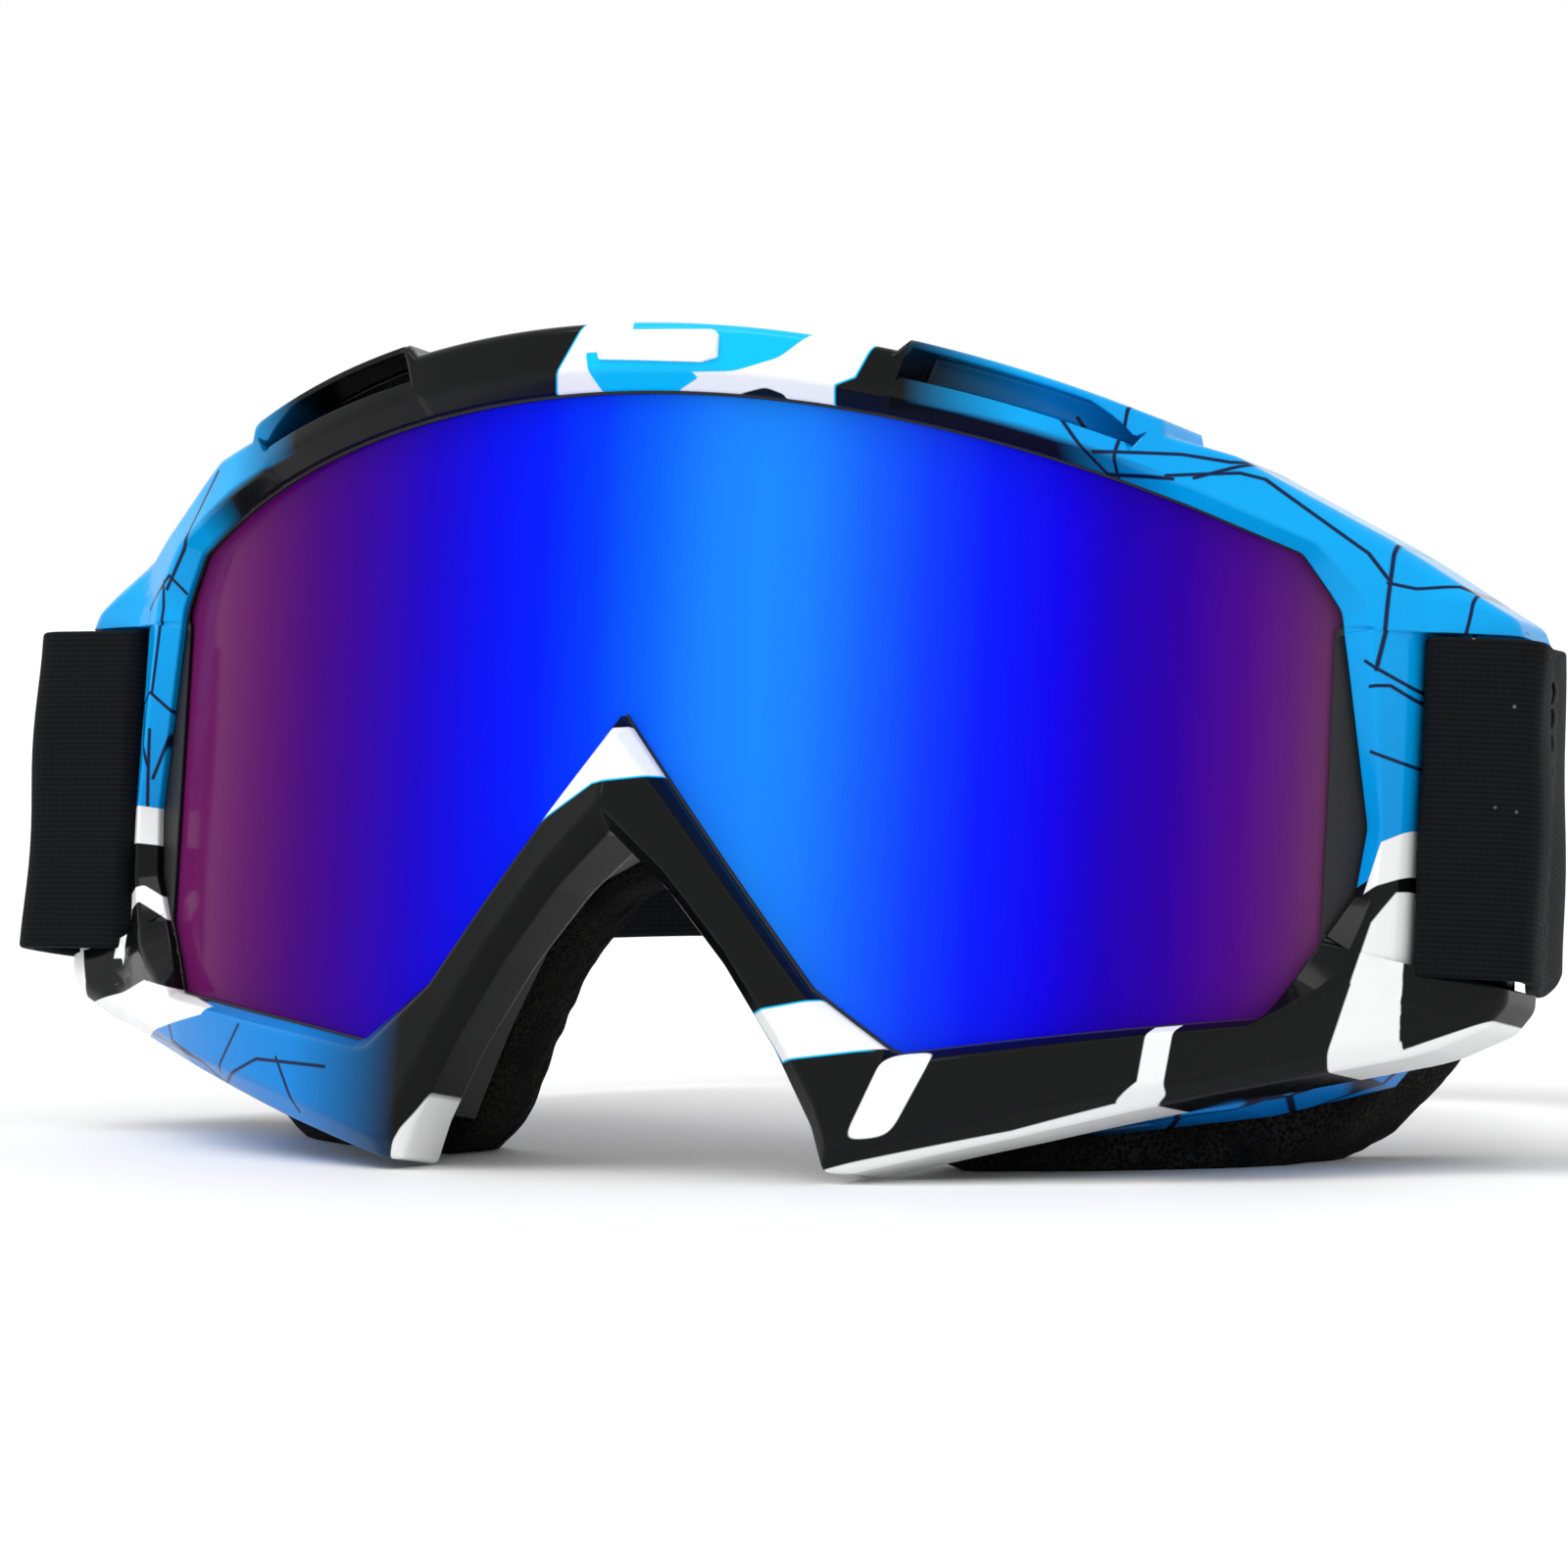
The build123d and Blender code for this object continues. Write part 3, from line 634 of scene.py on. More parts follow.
@dataclass(frozen=True)
class PrintedGloss:
    """The front frame's glossy plastic with its dipped print: blue with cracks, black, white, cyan, and a painted
    shade in black along the brow's inner bevel by the lens.
    """

    blue: Colour = (0.0, 0.38, 0.84)
    deep_blue: Colour = (0.0, 0.21, 0.62)
    cyan: Colour = (0.0, 0.50, 0.90)
    black: Colour = (0.003, 0.0032, 0.0034)
    white: Colour = (0.88, 0.89, 0.88)
    crack: Colour = (0.004, 0.012, 0.06)
    brow_above: Point = (20.0, 23.0)
    brow_left: Point = (-60.0, -48.0)
    brow_right: Point = (30.5, 43.0)
    inner_bevel_shade_depth: Point = (1.6, 2.6)
    inner_bevel_shade_left: Point = (-67.0, -60.0)
    inner_bevel_shade_right: Point = (46.0, 58.0)
    nose_below: Point = (2.0, 3.0)
    nose_left: Point = (-43.0, -26.0)
    nose_right: Point = (69.0, 70.0)
    deeper_below: Point = (-35.0, 25.0)
    cloud_scale: float = 55.0
    cloud_range: Point = (0.40, 0.80)
    cloud_share: float = 0.5
    crack_half_width: float = 0.2
    fringe: float = 0.2
    fringe_middle: float = 8.0
    fringe_reach: Point = (22.0, 23.0)
    pill_corner: float = 2.4
    corner: float = 0.5
    sharp: float = 0.14
    wave_scale: float = 90.0
    scuff_scale: float = 420.0
    roughness: float = 0.10
    scuff: float = 0.08
    reflection: float = 0.14

    def black_mask(self, view: FrontView, across: Wire, art: PrintArt) -> Wire:
        """Where the print fades or changes to black, 0 to 1: the brow's middle, nose, cheeks, sides, and the painted
        shade along the brow's inner bevel by the lens.
        """
        brow = view.z.ramp(*self.brow_above)
        middle = view.x.ramp(*self.brow_left) & (1 - view.x.ramp(*self.brow_right))
        # painted shade: within about 2 mm of the lens, the brow's inner bevel is painted black as the shade of the
        # groove by the lens
        lip = (1 - across.ramp(*self.inner_bevel_shade_depth)) & view.x.ramp(*self.inner_bevel_shade_left) & (1 - view.x.ramp(*self.inner_bevel_shade_right))
        nose = (1 - view.z.ramp(*self.nose_below)) & view.x.ramp(*self.nose_left)
        nose = nose & (1 - view.x.ramp(*self.nose_right))
        mask = (brow & (middle | lip)) | nose
        for corners in art.blacks:
            mask = mask | view.patch(*corners).edge(self.sharp)
        return mask

    def material(self) -> bpy.types.Material:
        """Build the finish: crisp print under clear gloss with faint moulding waves."""
        art = PrintArt()
        shader = Shader("printed_gloss")
        view = FrontView(shader)
        across, _, _ = shader.parts(shader.pattern())
        cloud = shader.noise(shader.place(), self.cloud_scale, 3.0)
        deeper = (cloud.ramp(*self.cloud_range) * self.cloud_share) | (1 - view.z.ramp(*self.deeper_below))
        colour = shader.blend(deeper, self.blue, self.deep_blue)
        cracked = view.any([view.line(points, self.crack_half_width) for points in art.cracks])
        colour = shader.blend(cracked.edge(self.sharp), colour, self.crack)
        colour = shader.blend(self.black_mask(view, across, art), colour, self.black)
        white = view.any([view.patch(*corners) for corners in art.whites])
        near_middle = 1 - (view.x - self.fringe_middle).math("ABSOLUTE").ramp(*self.fringe_reach)
        colour = shader.blend((white + self.fringe).edge(self.sharp) & near_middle, colour, self.cyan)
        white = view.any([white, view.patch(*art.pill, soft=self.pill_corner)]
                         + [view.line(points, half) for half, points in art.white_strokes])
        colour = shader.blend(white.edge(self.sharp), colour, self.white)
        for patches, tint in ((art.cyans, self.cyan), (art.black_over, self.black)):
            inside = view.any([view.patch(*corners, soft=self.corner) for corners in patches])
            colour = shader.blend(inside.edge(self.sharp), colour, tint)
        wave = shader.noise(shader.place(), self.wave_scale, 1.0)
        scuff = shader.noise(shader.place(), self.scuff_scale, 4.0)
        return shader.finish({
            "Base Color": colour,
            "Roughness": scuff.math("MULTIPLY_ADD", self.scuff, self.roughness),
            "Specular IOR Level": self.reflection,
            "Normal": shader.bump(wave, 0.2, 0.0006),
        })


@dataclass(frozen=True)
class BlueGloss:
    """The rear frame's glossy blue plastic with cracks as a cell pattern, and black painted shade at the nose, where
    its walls lie in the notch's shade.
    """

    blue: Colour = (0.0, 0.24, 0.74)
    black: Colour = (0.003, 0.003, 0.004)
    crack: Colour = (0.003, 0.01, 0.05)
    cell_scale: float = 62.0
    crack_edge: Point = (0.030, 0.014)
    cracked_scale: float = 40.0
    cracked_above: Point = (0.46, 0.52)
    nose_shade_within: Point = (46.0, 58.0)
    nose_shade_below: Point = (-8.0, 8.0)
    scuff_scale: float = 300.0
    roughness: float = 0.18
    scuff: float = 0.1
    reflection: float = 0.18

    def material(self) -> bpy.types.Material:
        """Build the finish."""
        shader = Shader("blue_gloss")
        view = FrontView(shader)
        cells = shader.node("ShaderNodeTexVoronoi", {"feature": "DISTANCE_TO_EDGE"},
                            {"Vector": shader.place(), "Scale": self.cell_scale})
        line = Wire(shader, cells.outputs["Distance"]).ramp(*self.crack_edge)
        some = shader.noise(shader.place(), self.cracked_scale, 1.0).ramp(*self.cracked_above)
        colour = shader.blend(line & some, self.blue, self.crack)
        # painted shade: black where the rear frame shows in the nose notch, low and near the middle, standing for the
        # notch's shade
        painted_nose_shade = (1 - view.x.math("ABSOLUTE").ramp(*self.nose_shade_within)) & (1 - view.z.ramp(*self.nose_shade_below))
        scuff = shader.noise(shader.place(), self.scuff_scale)
        colour = shader.blend(painted_nose_shade, colour, self.black)
        return shader.finish({
            "Base Color": colour,
            "Roughness": scuff.math("MULTIPLY_ADD", self.scuff, self.roughness),
            "Specular IOR Level": self.reflection,
        })


@dataclass(frozen=True)
class MirrorCoat:
    """The lens's coat, whose colour runs across it: violet, blue, light blue and back.

    Each band is a place across in mm and the colour there.
    """

    half_width: float = 78.0
    reflection: float = 0.02
    roughness: float = 0.10
    scuff: float = 0.03
    bands: tuple[tuple[float, Colour], ...] = (
        (-66.0, (0.121, 0.009, 0.091)),
        (-60.0, (0.108, 0.005, 0.103)),
        (-54.0, (0.084, 0.002, 0.117)),
        (-47.0, (0.056, 0.0, 0.163)),
        (-40.0, (0.037, 0.0, 0.237)),
        (-34.0, (0.024, 0.001, 0.336)),
        (-28.0, (0.011, 0.001, 0.475)),
        (-20.0, (0.003, 0.004, 0.708)),
        (-12.0, (0.001, 0.011, 0.875)),
        (-5.0, (0.001, 0.038, 0.877)),
        (2.0, (0.003, 0.103, 0.875)),
        (9.0, (0.009, 0.185, 0.877)),
        (15.0, (0.01, 0.214, 0.877)),
        (20.0, (0.01, 0.182, 0.872)),
        (27.0, (0.007, 0.095, 0.877)),
        (33.0, (0.005, 0.039, 0.859)),
        (39.0, (0.003, 0.01, 0.875)),
        (46.0, (0.005, 0.001, 0.752)),
        (52.0, (0.013, 0.0, 0.443)),
        (58.0, (0.028, 0.0, 0.321)),
        (64.0, (0.069, 0.003, 0.226)),
        (68.0, (0.097, 0.013, 0.164)),
        (71.0, (0.127, 0.031, 0.117)),
        (74.0, (0.101, 0.036, 0.069)),
    )

    def material(self) -> bpy.types.Material:
        """Build the finish: bands of the coat's own colour under a thin, even gloss."""
        shader = Shader("mirror_coat")
        view = FrontView(shader)
        width = self.half_width
        share = view.x.math("MULTIPLY_ADD", 0.5 / width, 0.5)
        stops = [((x + width) / (2 * width), colour) for x, colour in self.bands]
        ramp = shader.node("ShaderNodeValToRGB", {"stops": stops}, {0: share})
        peel = shader.noise(shader.place(), 35.0, 1.0)
        scuff = shader.noise(shader.place(), 18.0)
        return shader.finish({
            "Base Color": ramp.outputs[0],
            "Specular IOR Level": self.reflection,
            "Roughness": scuff.math("MULTIPLY_ADD", self.scuff, self.roughness),
            "Normal": shader.bump(peel, 0.05, 0.0003),
        })


@dataclass(frozen=True)
class Sponge:
    """Open-cell black foam: dull, with pores of one size cut open at the surface, and painted shade in the pores:
    their hollows black, the foam between them lighter in random patches.
    """

    black: Colour = (0.0015, 0.0015, 0.0015)
    rim: Colour = (0.016, 0.0155, 0.014)
    pore_scale: float = 1900.0
    pore_depth: Point = (0.35, 0.75)
    patch_scale: float = 160.0
    patch_range: Point = (0.3, 0.6)

    def material(self, name: str) -> bpy.types.Material:
        """Build the finish under a name."""
        shader = Shader(name)
        pores = shader.node("ShaderNodeTexVoronoi", {"feature": "F1"},
                            {"Vector": shader.place(), "Scale": self.pore_scale})
        depth = Wire(shader, pores.outputs["Distance"])
        patches = shader.noise(shader.place(), self.patch_scale, 3.0).ramp(*self.patch_range)
        # painted shade: each pore's hollow is painted black and the foam between pores the lighter rim colour, in
        # random patches
        colour = shader.blend(depth.ramp(*self.pore_depth) & patches, self.black, self.rim)
        return shader.finish({
            "Base Color": colour,
            "Roughness": 0.95,
            "Specular IOR Level": 0.1,
            "Normal": shader.bump(depth, 0.6, 0.0003),
        })


@dataclass(frozen=True)
class Webbing:
    """Black elastic webbing: fine ribs along its length, rubbery crosswise picks, specks of lint, and painted light
    and shade on the weave: raised parts lighter, grooves darker.
    """

    black: Colour = (0.0016, 0.0018, 0.0024)
    lit_rib_top: Colour = (0.0055, 0.0065, 0.0085)
    lint: Colour = (0.10, 0.11, 0.11)
    rib_pitch: float = 0.62
    pick_pitch: float = 0.9
    lint_scale: float = 210.0
    lint_size: Point = (0.055, 0.03)

    def material(self) -> bpy.types.Material:
        """Build the finish; the pattern is (mm along, mm across, 0)."""
        shader = Shader("black_elastic")
        along, over, _ = shader.parts(shader.pattern())
        turn = 2 * math.pi
        wander = shader.noise(shader.place(), 700.0, 1.0)
        rows = (over * (turn / self.rib_pitch) + wander * 1.4).math("SINE")
        picks = (along * (turn / self.pick_pitch) + rows * 0.8 + wander).math("SINE")
        height = (rows * 0.35 + picks * 0.12).math("ADD", 0.5)
        fuzz = shader.noise(shader.place(), 2600.0, 3.0)
        specks = shader.node("ShaderNodeTexVoronoi", {"feature": "F1"},
                             {"Vector": shader.place(), "Scale": self.lint_scale})
        speck = Wire(shader, specks.outputs["Distance"]).ramp(*self.lint_size)
        # painted light and shade: the weave's raised ribs and picks are painted lighter and its grooves black,
        # following the bump's height, with random fuzz in the tone
        colour = shader.blend((height * 0.7 + fuzz * 0.4).ramp(0.2, 1.0), self.black, self.lit_rib_top)
        colour = shader.blend(speck, colour, self.lint)
        return shader.finish({
            "Base Color": colour,
            "Roughness": fuzz.math("MULTIPLY_ADD", 0.2, 0.75),
            "Specular IOR Level": 0.12,
            "Normal": shader.bump(height + fuzz * 0.5, 0.5, 0.00016),
        })


@dataclass(frozen=True)
class Moulded:
    """Plain moulded plastic, rubber or film: one colour with a fine texture and soft wear."""

    name: str
    colour: Colour
    roughness: float
    grain_scale: float = 900.0
    grain: float = 0.15
    coat: float = 0.0

    def material(self) -> bpy.types.Material:
        """Build the finish."""
        shader = Shader(self.name)
        grain = shader.noise(shader.place(), self.grain_scale, 3.0)
        tone = shader.noise(shader.place(), 60.0, 2.0)
        lighter = tuple(min(1.0, channel * 1.25 + 0.004) for channel in self.colour)
        return shader.finish({
            "Base Color": shader.blend(tone.ramp(0.3, 0.7), self.colour, lighter),
            "Roughness": grain.math("MULTIPLY_ADD", 0.12, self.roughness),
            "Coat Weight": self.coat,
            "Coat Roughness": 0.06,
            "Normal": shader.bump(grain, self.grain, 0.0002),
        })


# ------------------------------------------------------------------ front frame


@dataclass
class FrontFrame:
    """The printed front frame: one ring of plastic round the lens, two strap bars, two vent hoods.

    Each row of `stations` gives, for the right half from the nose round to the brow: the point on
    the lens opening (x, z), the point on the outside (x, z), the height of the opening's edge, the
    first fold's place across and height, the second fold's, and the height of the outer edge.
    Places across are shares of the rim's width; heights are mm behind the wrap line.
    """

    stations: tuple[tuple[float, ...], ...] = (
        (0.0, 0.0, 0.0, -13.0, -1.0, 0.16, -3.6, 0.80, -5.8, -2.6),
        (8.0, -10.4, 7.0, -19.5, -0.9, 0.12, -3.0, 0.74, -4.4, -1.4),
        (15.5, -20.1, 13.5, -27.5, -0.9, 0.10, -2.6, 0.70, -3.4, -0.6),
        (23.0, -29.8, 19.5, -36.5, -0.9, 0.10, -2.4, 0.70, -3.0, -0.4),
        (28.0, -33.4, 24.0, -45.0, -0.9, 0.10, -2.4, 0.74, -3.0, -0.4),
        (31.8, -36.1, 25.6, -49.8, -0.9, 0.10, -2.5, 0.80, -2.9, -0.8),
        (33.0, -36.5, 28.6, -49.8, -0.9, 0.10, -2.6, 0.82, -2.8, -0.8),
        (44.0, -34.4, 45.0, -44.8, -0.8, 0.12, -3.0, 0.76, -2.7, -0.2),
        (57.0, -32.0, 57.0, -40.8, -0.8, 0.12, -3.0, 0.78, -2.6, -0.2),
        (67.5, -30.0, 63.0, -38.8, -0.8, 0.12, -3.0, 0.80, -2.6, -0.4),
        (68.9, -27.4, 73.0, -35.5, -0.7, 0.22, -3.0, 0.80, -2.4, -0.6),
        (70.2, -24.9, 82.9, -32.2, -0.6, 0.24, -3.0, 0.84, -1.8, -0.6),
        (71.2, -22.9, 88.4, -29.4, -0.6, 0.24, -3.0, 0.90, -1.2, -0.2),
        (71.8, -21.8, 90.4, -26.6, -0.6, 0.22, -3.0, 0.93, -0.8, 0.2),
        (72.1, -21.1, 90.4, -24.8, -0.6, 0.21, -3.0, 0.94, -0.6, 0.2),
        (72.6, -20.2, 80.2, -24.8, -0.6, 0.44, -3.0, 0.88, -2.0, -1.0),
        (75.0, -15.5, 80.2, -16.0, -0.6, 0.50, -3.0, 0.86, -2.2, -1.2),
        (75.8, -8.0, 80.2, -8.0, -0.6, 0.50, -3.0, 0.86, -2.2, -1.2),
        (73.6, 8.5, 80.2, 8.5, -0.6, 0.46, -3.0, 0.88, -2.0, -1.2),
        (72.9, 13.4, 80.2, 14.4, -0.6, 0.44, -3.0, 0.88, -2.0, -1.0),
        (72.8, 14.3, 90.4, 14.4, -0.6, 0.20, -3.0, 0.93, -0.8, 0.2),
        (72.6, 15.8, 89.6, 16.4, -0.6, 0.22, -3.0, 0.92, -0.8, 0.2),
        (71.6, 17.6, 86.6, 18.2, -0.5, 0.26, -3.0, 0.88, -1.6, -0.6),
        (68.8, 22.0, 76.5, 24.6, -0.4, 0.32, -3.0, 0.84, -2.4, -1.4),
    )
    temple_outside: tuple[tuple[float, float], ...] = ((63.2, 31.9), (57.0, 33.4))
    temple_opening: tuple[float, float] = (58.4, 53.0)
    opening_top: float = 36.6
    opening_corner: tuple[float, float] = (68.8, 22.0)
    brow_top: float = 44.0
    brow_values: tuple[float, ...] = (-0.3, 0.27, -3.0, 0.90, -2.9, -2.2)
    back: float = 8.0
    pocket: float = 2.15
    lens_front: float = 0.9
    lens_gap: float = 0.15
    longest: float = 1.5
    corner: float = 0.9
    slot_corner: float = 0.25
    slot_corners: tuple[int, ...] = (14, 15, 19, 20)
    hood_inner: float = 29.6
    hood_outer: float = 56.6
    hood_above: float = 30.0
    hood_fade: tuple[float, float] = (0.8, 1.2)
    inner_steps: tuple[float, ...] = (-0.5, -0.2, 0.1, 0.4, 0.9, 1.2, 1.5)
    outer_steps: tuple[float, ...] = (-2.4, -1.8, -1.2, -0.9, -0.6, -0.3, 0.0)
    vent_inset: tuple[float, float] = (1.2, 1.6)
    vent_fade: tuple[float, float] = (0.3, 0.3)
    vent_taper: float = 6.0
    vent_tip: float = 1.5
    hood_rise: float = 1.5
    hood_floor: float = 4.2
    hood_lip: float = 0.9
    hood_depth: float = 3.6
    bar_x: tuple[float, float] = (82.8, 90.2)
    bar_behind: tuple[float, float] = (0.6, 3.4)
    bar_z: tuple[float, float] = (-25.6, 15.2)
    bar_round: float = 1.2
    past_lip: float = 6.0

    def half_ring(self) -> np.ndarray:
        """Stations of the right half, corners rounded and runs split.

        Returns:
            (stations, 10): the columns of `stations`, ordered (opening x, z, outside x, z, values).
        """
        corners = np.array(self.stations)
        temple_x = np.array(self.temple_opening)
        temple = np.column_stack([
            temple_x,
            arc_height(temple_x, self.opening_corner, self.opening_top),
            np.array(self.temple_outside),
            np.tile(self.brow_values, (2, 1)),
        ])
        corners = np.concatenate([corners, temple])
        reach = np.full(len(corners), self.corner)
        reach[list(self.slot_corners)] = self.slot_corner
        path = rounded(corners, reach, 4, closed=False)
        path = subdivided(path, self.longest, across=4)
        brow_end = self.temple_outside[1][0]
        steps = [np.linspace(brow_end, 0.0, 44)[1:], self.hood_inner + np.array(self.inner_steps),
                 self.hood_outer + np.array(self.outer_steps)]
        x = np.unique(np.concatenate(steps))[::-1]
        opening_x = x * self.temple_opening[1] / brow_end
        brow = np.column_stack([
            opening_x,
            arc_height(opening_x, self.opening_corner, self.opening_top),
            x,
            arc_height(x, self.temple_outside[1], self.brow_top),
            np.tile(self.brow_values, (len(x), 1)),
        ])
        return np.concatenate([path, brow])

    def along_hood(self, x: np.ndarray, inset: Point, fade: Point) -> np.ndarray:
        """1 along a hood and 0 past its ends, each end set in and faded by a distance."""
        start = np.clip((x - self.hood_inner - inset[0]) / fade[0], 0, 1)
        return start * np.clip((self.hood_outer - inset[1] - x) / fade[1], 0, 1)

    def profiles(self, ring: np.ndarray) -> np.ndarray:
        """The closed section at each station.

        Its corners are the lens pocket, the opening's edge, the first fold, four corners of the
        vent slot, the second fold, the outer edge and the back.  Away from the hoods the slot's
        corners lie on the flat between the folds.

        Args:
            ring: (stations, 10) closed ring.

        Returns:
            (stations, section points, 2): mm from the opening outward, mm behind the wrap line.
        """
        opening, outside = ring[:, 0:2], ring[:, 2:4]
        edge, fold_share, fold, shoulder_share, shoulder, rim = ring[:, 4:].T
        width = np.linalg.norm(outside - opening, axis=1)
        x = np.abs(outside[:, 0])
        on_brow = outside[:, 1] > self.hood_above
        width = width + self.along_hood(x, (0.0, 0.0), self.hood_fade) * on_brow * self.hood_rise
        cut = self.along_hood(x, self.vent_inset, self.vent_fade) * on_brow
        pinch = np.sqrt(np.clip((self.hood_outer - self.vent_tip - x) / self.vent_taper, 0.05, 1))
        top = self.hood_floor + (width - self.hood_lip - self.hood_floor) * pinch
        pocket = np.full_like(width, self.lens_front - self.lens_gap)
        flat_from, flat_to = fold_share * width, shoulder_share * width

        def slot_corner(share: float, place: np.ndarray, depth: np.ndarray) -> tuple[np.ndarray, np.ndarray]:
            """A corner of the slot, which lies on the flat where there is no slot."""
            on_flat = flat_from + (flat_to - flat_from) * share
            level = fold + (shoulder - fold) * share
            return on_flat + (place - on_flat) * cut, level + (depth - level) * cut

        deep = np.full_like(width, self.hood_depth)
        corners = [
            (np.zeros_like(width), pocket),
            (np.zeros_like(width), edge),
            (flat_from, fold),
            slot_corner(0.2, np.full_like(width, self.hood_floor), fold + 0.2),
            slot_corner(0.4, np.full_like(width, self.hood_floor + 0.2), deep),
            slot_corner(0.6, top - 0.1, deep),
            slot_corner(0.8, top, shoulder + 0.5),
            (flat_to + (width - 0.35 - flat_to) * cut, shoulder),
            (width, rim),
            (width, np.full_like(width, self.back)),
            (np.full_like(width, self.pocket), np.full_like(width, self.back)),
            (np.full_like(width, self.pocket), pocket),
        ]
        section = np.stack([np.stack(corner, axis=-1) for corner in corners], axis=1)
        reach = np.array([0.1, 0.35, 0.7, 0.2, 0.3, 0.3, 0.2, 0.7, 0.7, 0.5, 0.2, 0.1])
        return rounded(section, reach, 3, closed=True)

    def ring(self) -> Lattice:
        """The ring of plastic: every section set across from the opening to the outside."""
        stations = both_halves(self.half_ring())
        section = self.profiles(stations)
        opening, outside = stations[:, None, 0:2], stations[:, None, 2:4]
        outward = (outside - opening) / np.linalg.norm(outside - opening, axis=-1, keepdims=True)
        place = opening + outward * section[..., :1]
        y = WRAP.depth(place[..., 0], section[..., 1])
        points = np.stack([place[..., 0], y, place[..., 1]], axis=-1)
        pattern = np.concatenate([section, np.zeros_like(section[..., :1])], axis=-1)
        return Lattice(STANDING.goggles(points), close_rows=True, close_columns=True, pattern=pattern)

    def bar(self, side: Side) -> Lattice:
        """The strap bar at one side: a rounded section carried up between the two arms."""
        (x_in, x_out), (front, back) = self.bar_x, self.bar_behind
        corners = np.array([(x_in, front), (x_out, front), (x_out, back), (x_in, back)])
        section = rounded(corners, np.full(4, self.bar_round), 4, closed=True)
        x = section[:, 0] * side
        plan = np.column_stack([x, WRAP.depth(x, section[:, 1])])
        points = carried_up(plan, np.linspace(*self.bar_z, 12))
        pattern = np.full(points.shape, self.past_lip)
        return Lattice(STANDING.goggles(points), close_columns=True, capped=True, pattern=pattern)

    def build(self) -> bpy.types.Object:
        """Make the ring and both bars as one piece."""
        piece = Piece("front_frame_shell", [self.ring(), self.bar(Side.LEFT), self.bar(Side.RIGHT)])
        shell = piece.build()
        dress(shell, PrintedGloss().material())
        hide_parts("front_frame")
        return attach(shell, Body.FRAME.value)


# ------------------------------------------------------------------ lens and badge


@dataclass
class Lens:
    """The curved lens: a grid of columns between its lower and upper edge, sprung against the frame."""

    behind: float = 0.9
    thickness: float = 1.2
    low_edge: tuple[tuple[float, float], ...] = (
        (0.0, -3.0), (22.2, -31.8), (31.9, -38.7), (68.8, -31.9), (77.0, -16.0), (77.7, -8.0))
    high_edge: tuple[tuple[float, float], ...] = ((68.8, 24.4), (74.6, 16.4), (75.6, 8.8), (77.7, -7.0))
    top: float = 38.6
    columns: int = 161
    rows: int = 40

    def build(self) -> bpy.types.Object:
        """Make the lens as one closed shell, front and back joined round its edge."""
        spread = np.linspace(-1, 1, self.columns)
        x = (0.8 * spread + 0.2 * np.sin(spread * math.pi / 2)) * self.low_edge[-1][0]
        side = np.abs(x)
        low = np.interp(side, *np.array(self.low_edge).T)
        corner = self.high_edge[0]
        high = np.where(side < corner[0], arc_height(side, corner, self.top),
                        np.interp(side, *np.array(self.high_edge).T))
        z = low[:, None] + (high - low)[:, None] * np.linspace(0, 1, self.rows)
        across = np.broadcast_to(x[:, None], z.shape)
        front, back = (
            np.stack([across, WRAP.depth(across, np.full_like(z, behind)), z], axis=-1)
            for behind in (self.behind, self.behind + self.thickness))
        loop = np.concatenate([front, back[:, ::-1]], axis=1)
        shell = Piece("lens_sheet", [Lattice(STANDING.goggles(loop), close_columns=True, capped=True)]).build()
        dress(shell, MirrorCoat().material())
        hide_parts("lens")
        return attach(shell, Body.FRAME.value)


@dataclass
class LensSeal:
    """The black seal between frame and lens: a thin lip all round, and a wide land at each side."""

    opening: FrontFrame
    lip: float = 0.3
    under_rim: float = 1.2
    land_x: float = 71.8
    land_z: tuple[float, float] = (-27.2, 14.6)
    land_round: float = 1.2
    front: float = 0.25
    lens_front: float = 0.9

    def build(self) -> bpy.types.Object:
        """Make the seal: a flat section from under the rim to the lip's or the land's edge."""
        stations = both_halves(self.opening.half_ring())
        edge, outside = stations[:, 0:2], stations[:, 2:4]
        outward = (outside - edge) / np.linalg.norm(outside - edge, axis=1, keepdims=True)
        outer, inner = edge + outward * self.under_rim, edge - outward * self.lip
        low, high = self.land_z
        past_end = np.maximum(np.maximum(low - inner[:, 1], inner[:, 1] - high), -self.land_round)
        corner = np.sqrt(np.maximum(self.land_round**2 - (past_end + self.land_round) ** 2, 0.0))
        land = np.where(past_end < 0, self.land_x + self.land_round - corner, 99.0)
        inner[:, 0] = np.sign(inner[:, 0]) * np.minimum(np.abs(inner[:, 0]), land)
        share = np.array([0.0, 0.97, 1.0, 1.0, 0.0])
        behind = np.array([self.front, self.front, self.front + 0.2, self.lens_front, self.lens_front])
        place = outer[:, None] + (inner - outer)[:, None] * share[None, :, None]
        y = WRAP.depth(place[..., 0], np.broadcast_to(behind, place.shape[:-1]))
        points = np.stack([place[..., 0], y, place[..., 1]], axis=-1)
        ring = Lattice(STANDING.goggles(points), close_rows=True, close_columns=True)
        seal = Piece("lens_seal", [ring]).build()
        dress(seal, Moulded("soft_black_rubber", (0.003, 0.003, 0.004), 0.55).material())
        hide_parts("lens_gasket")
        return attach(seal, Body.FRAME.value)


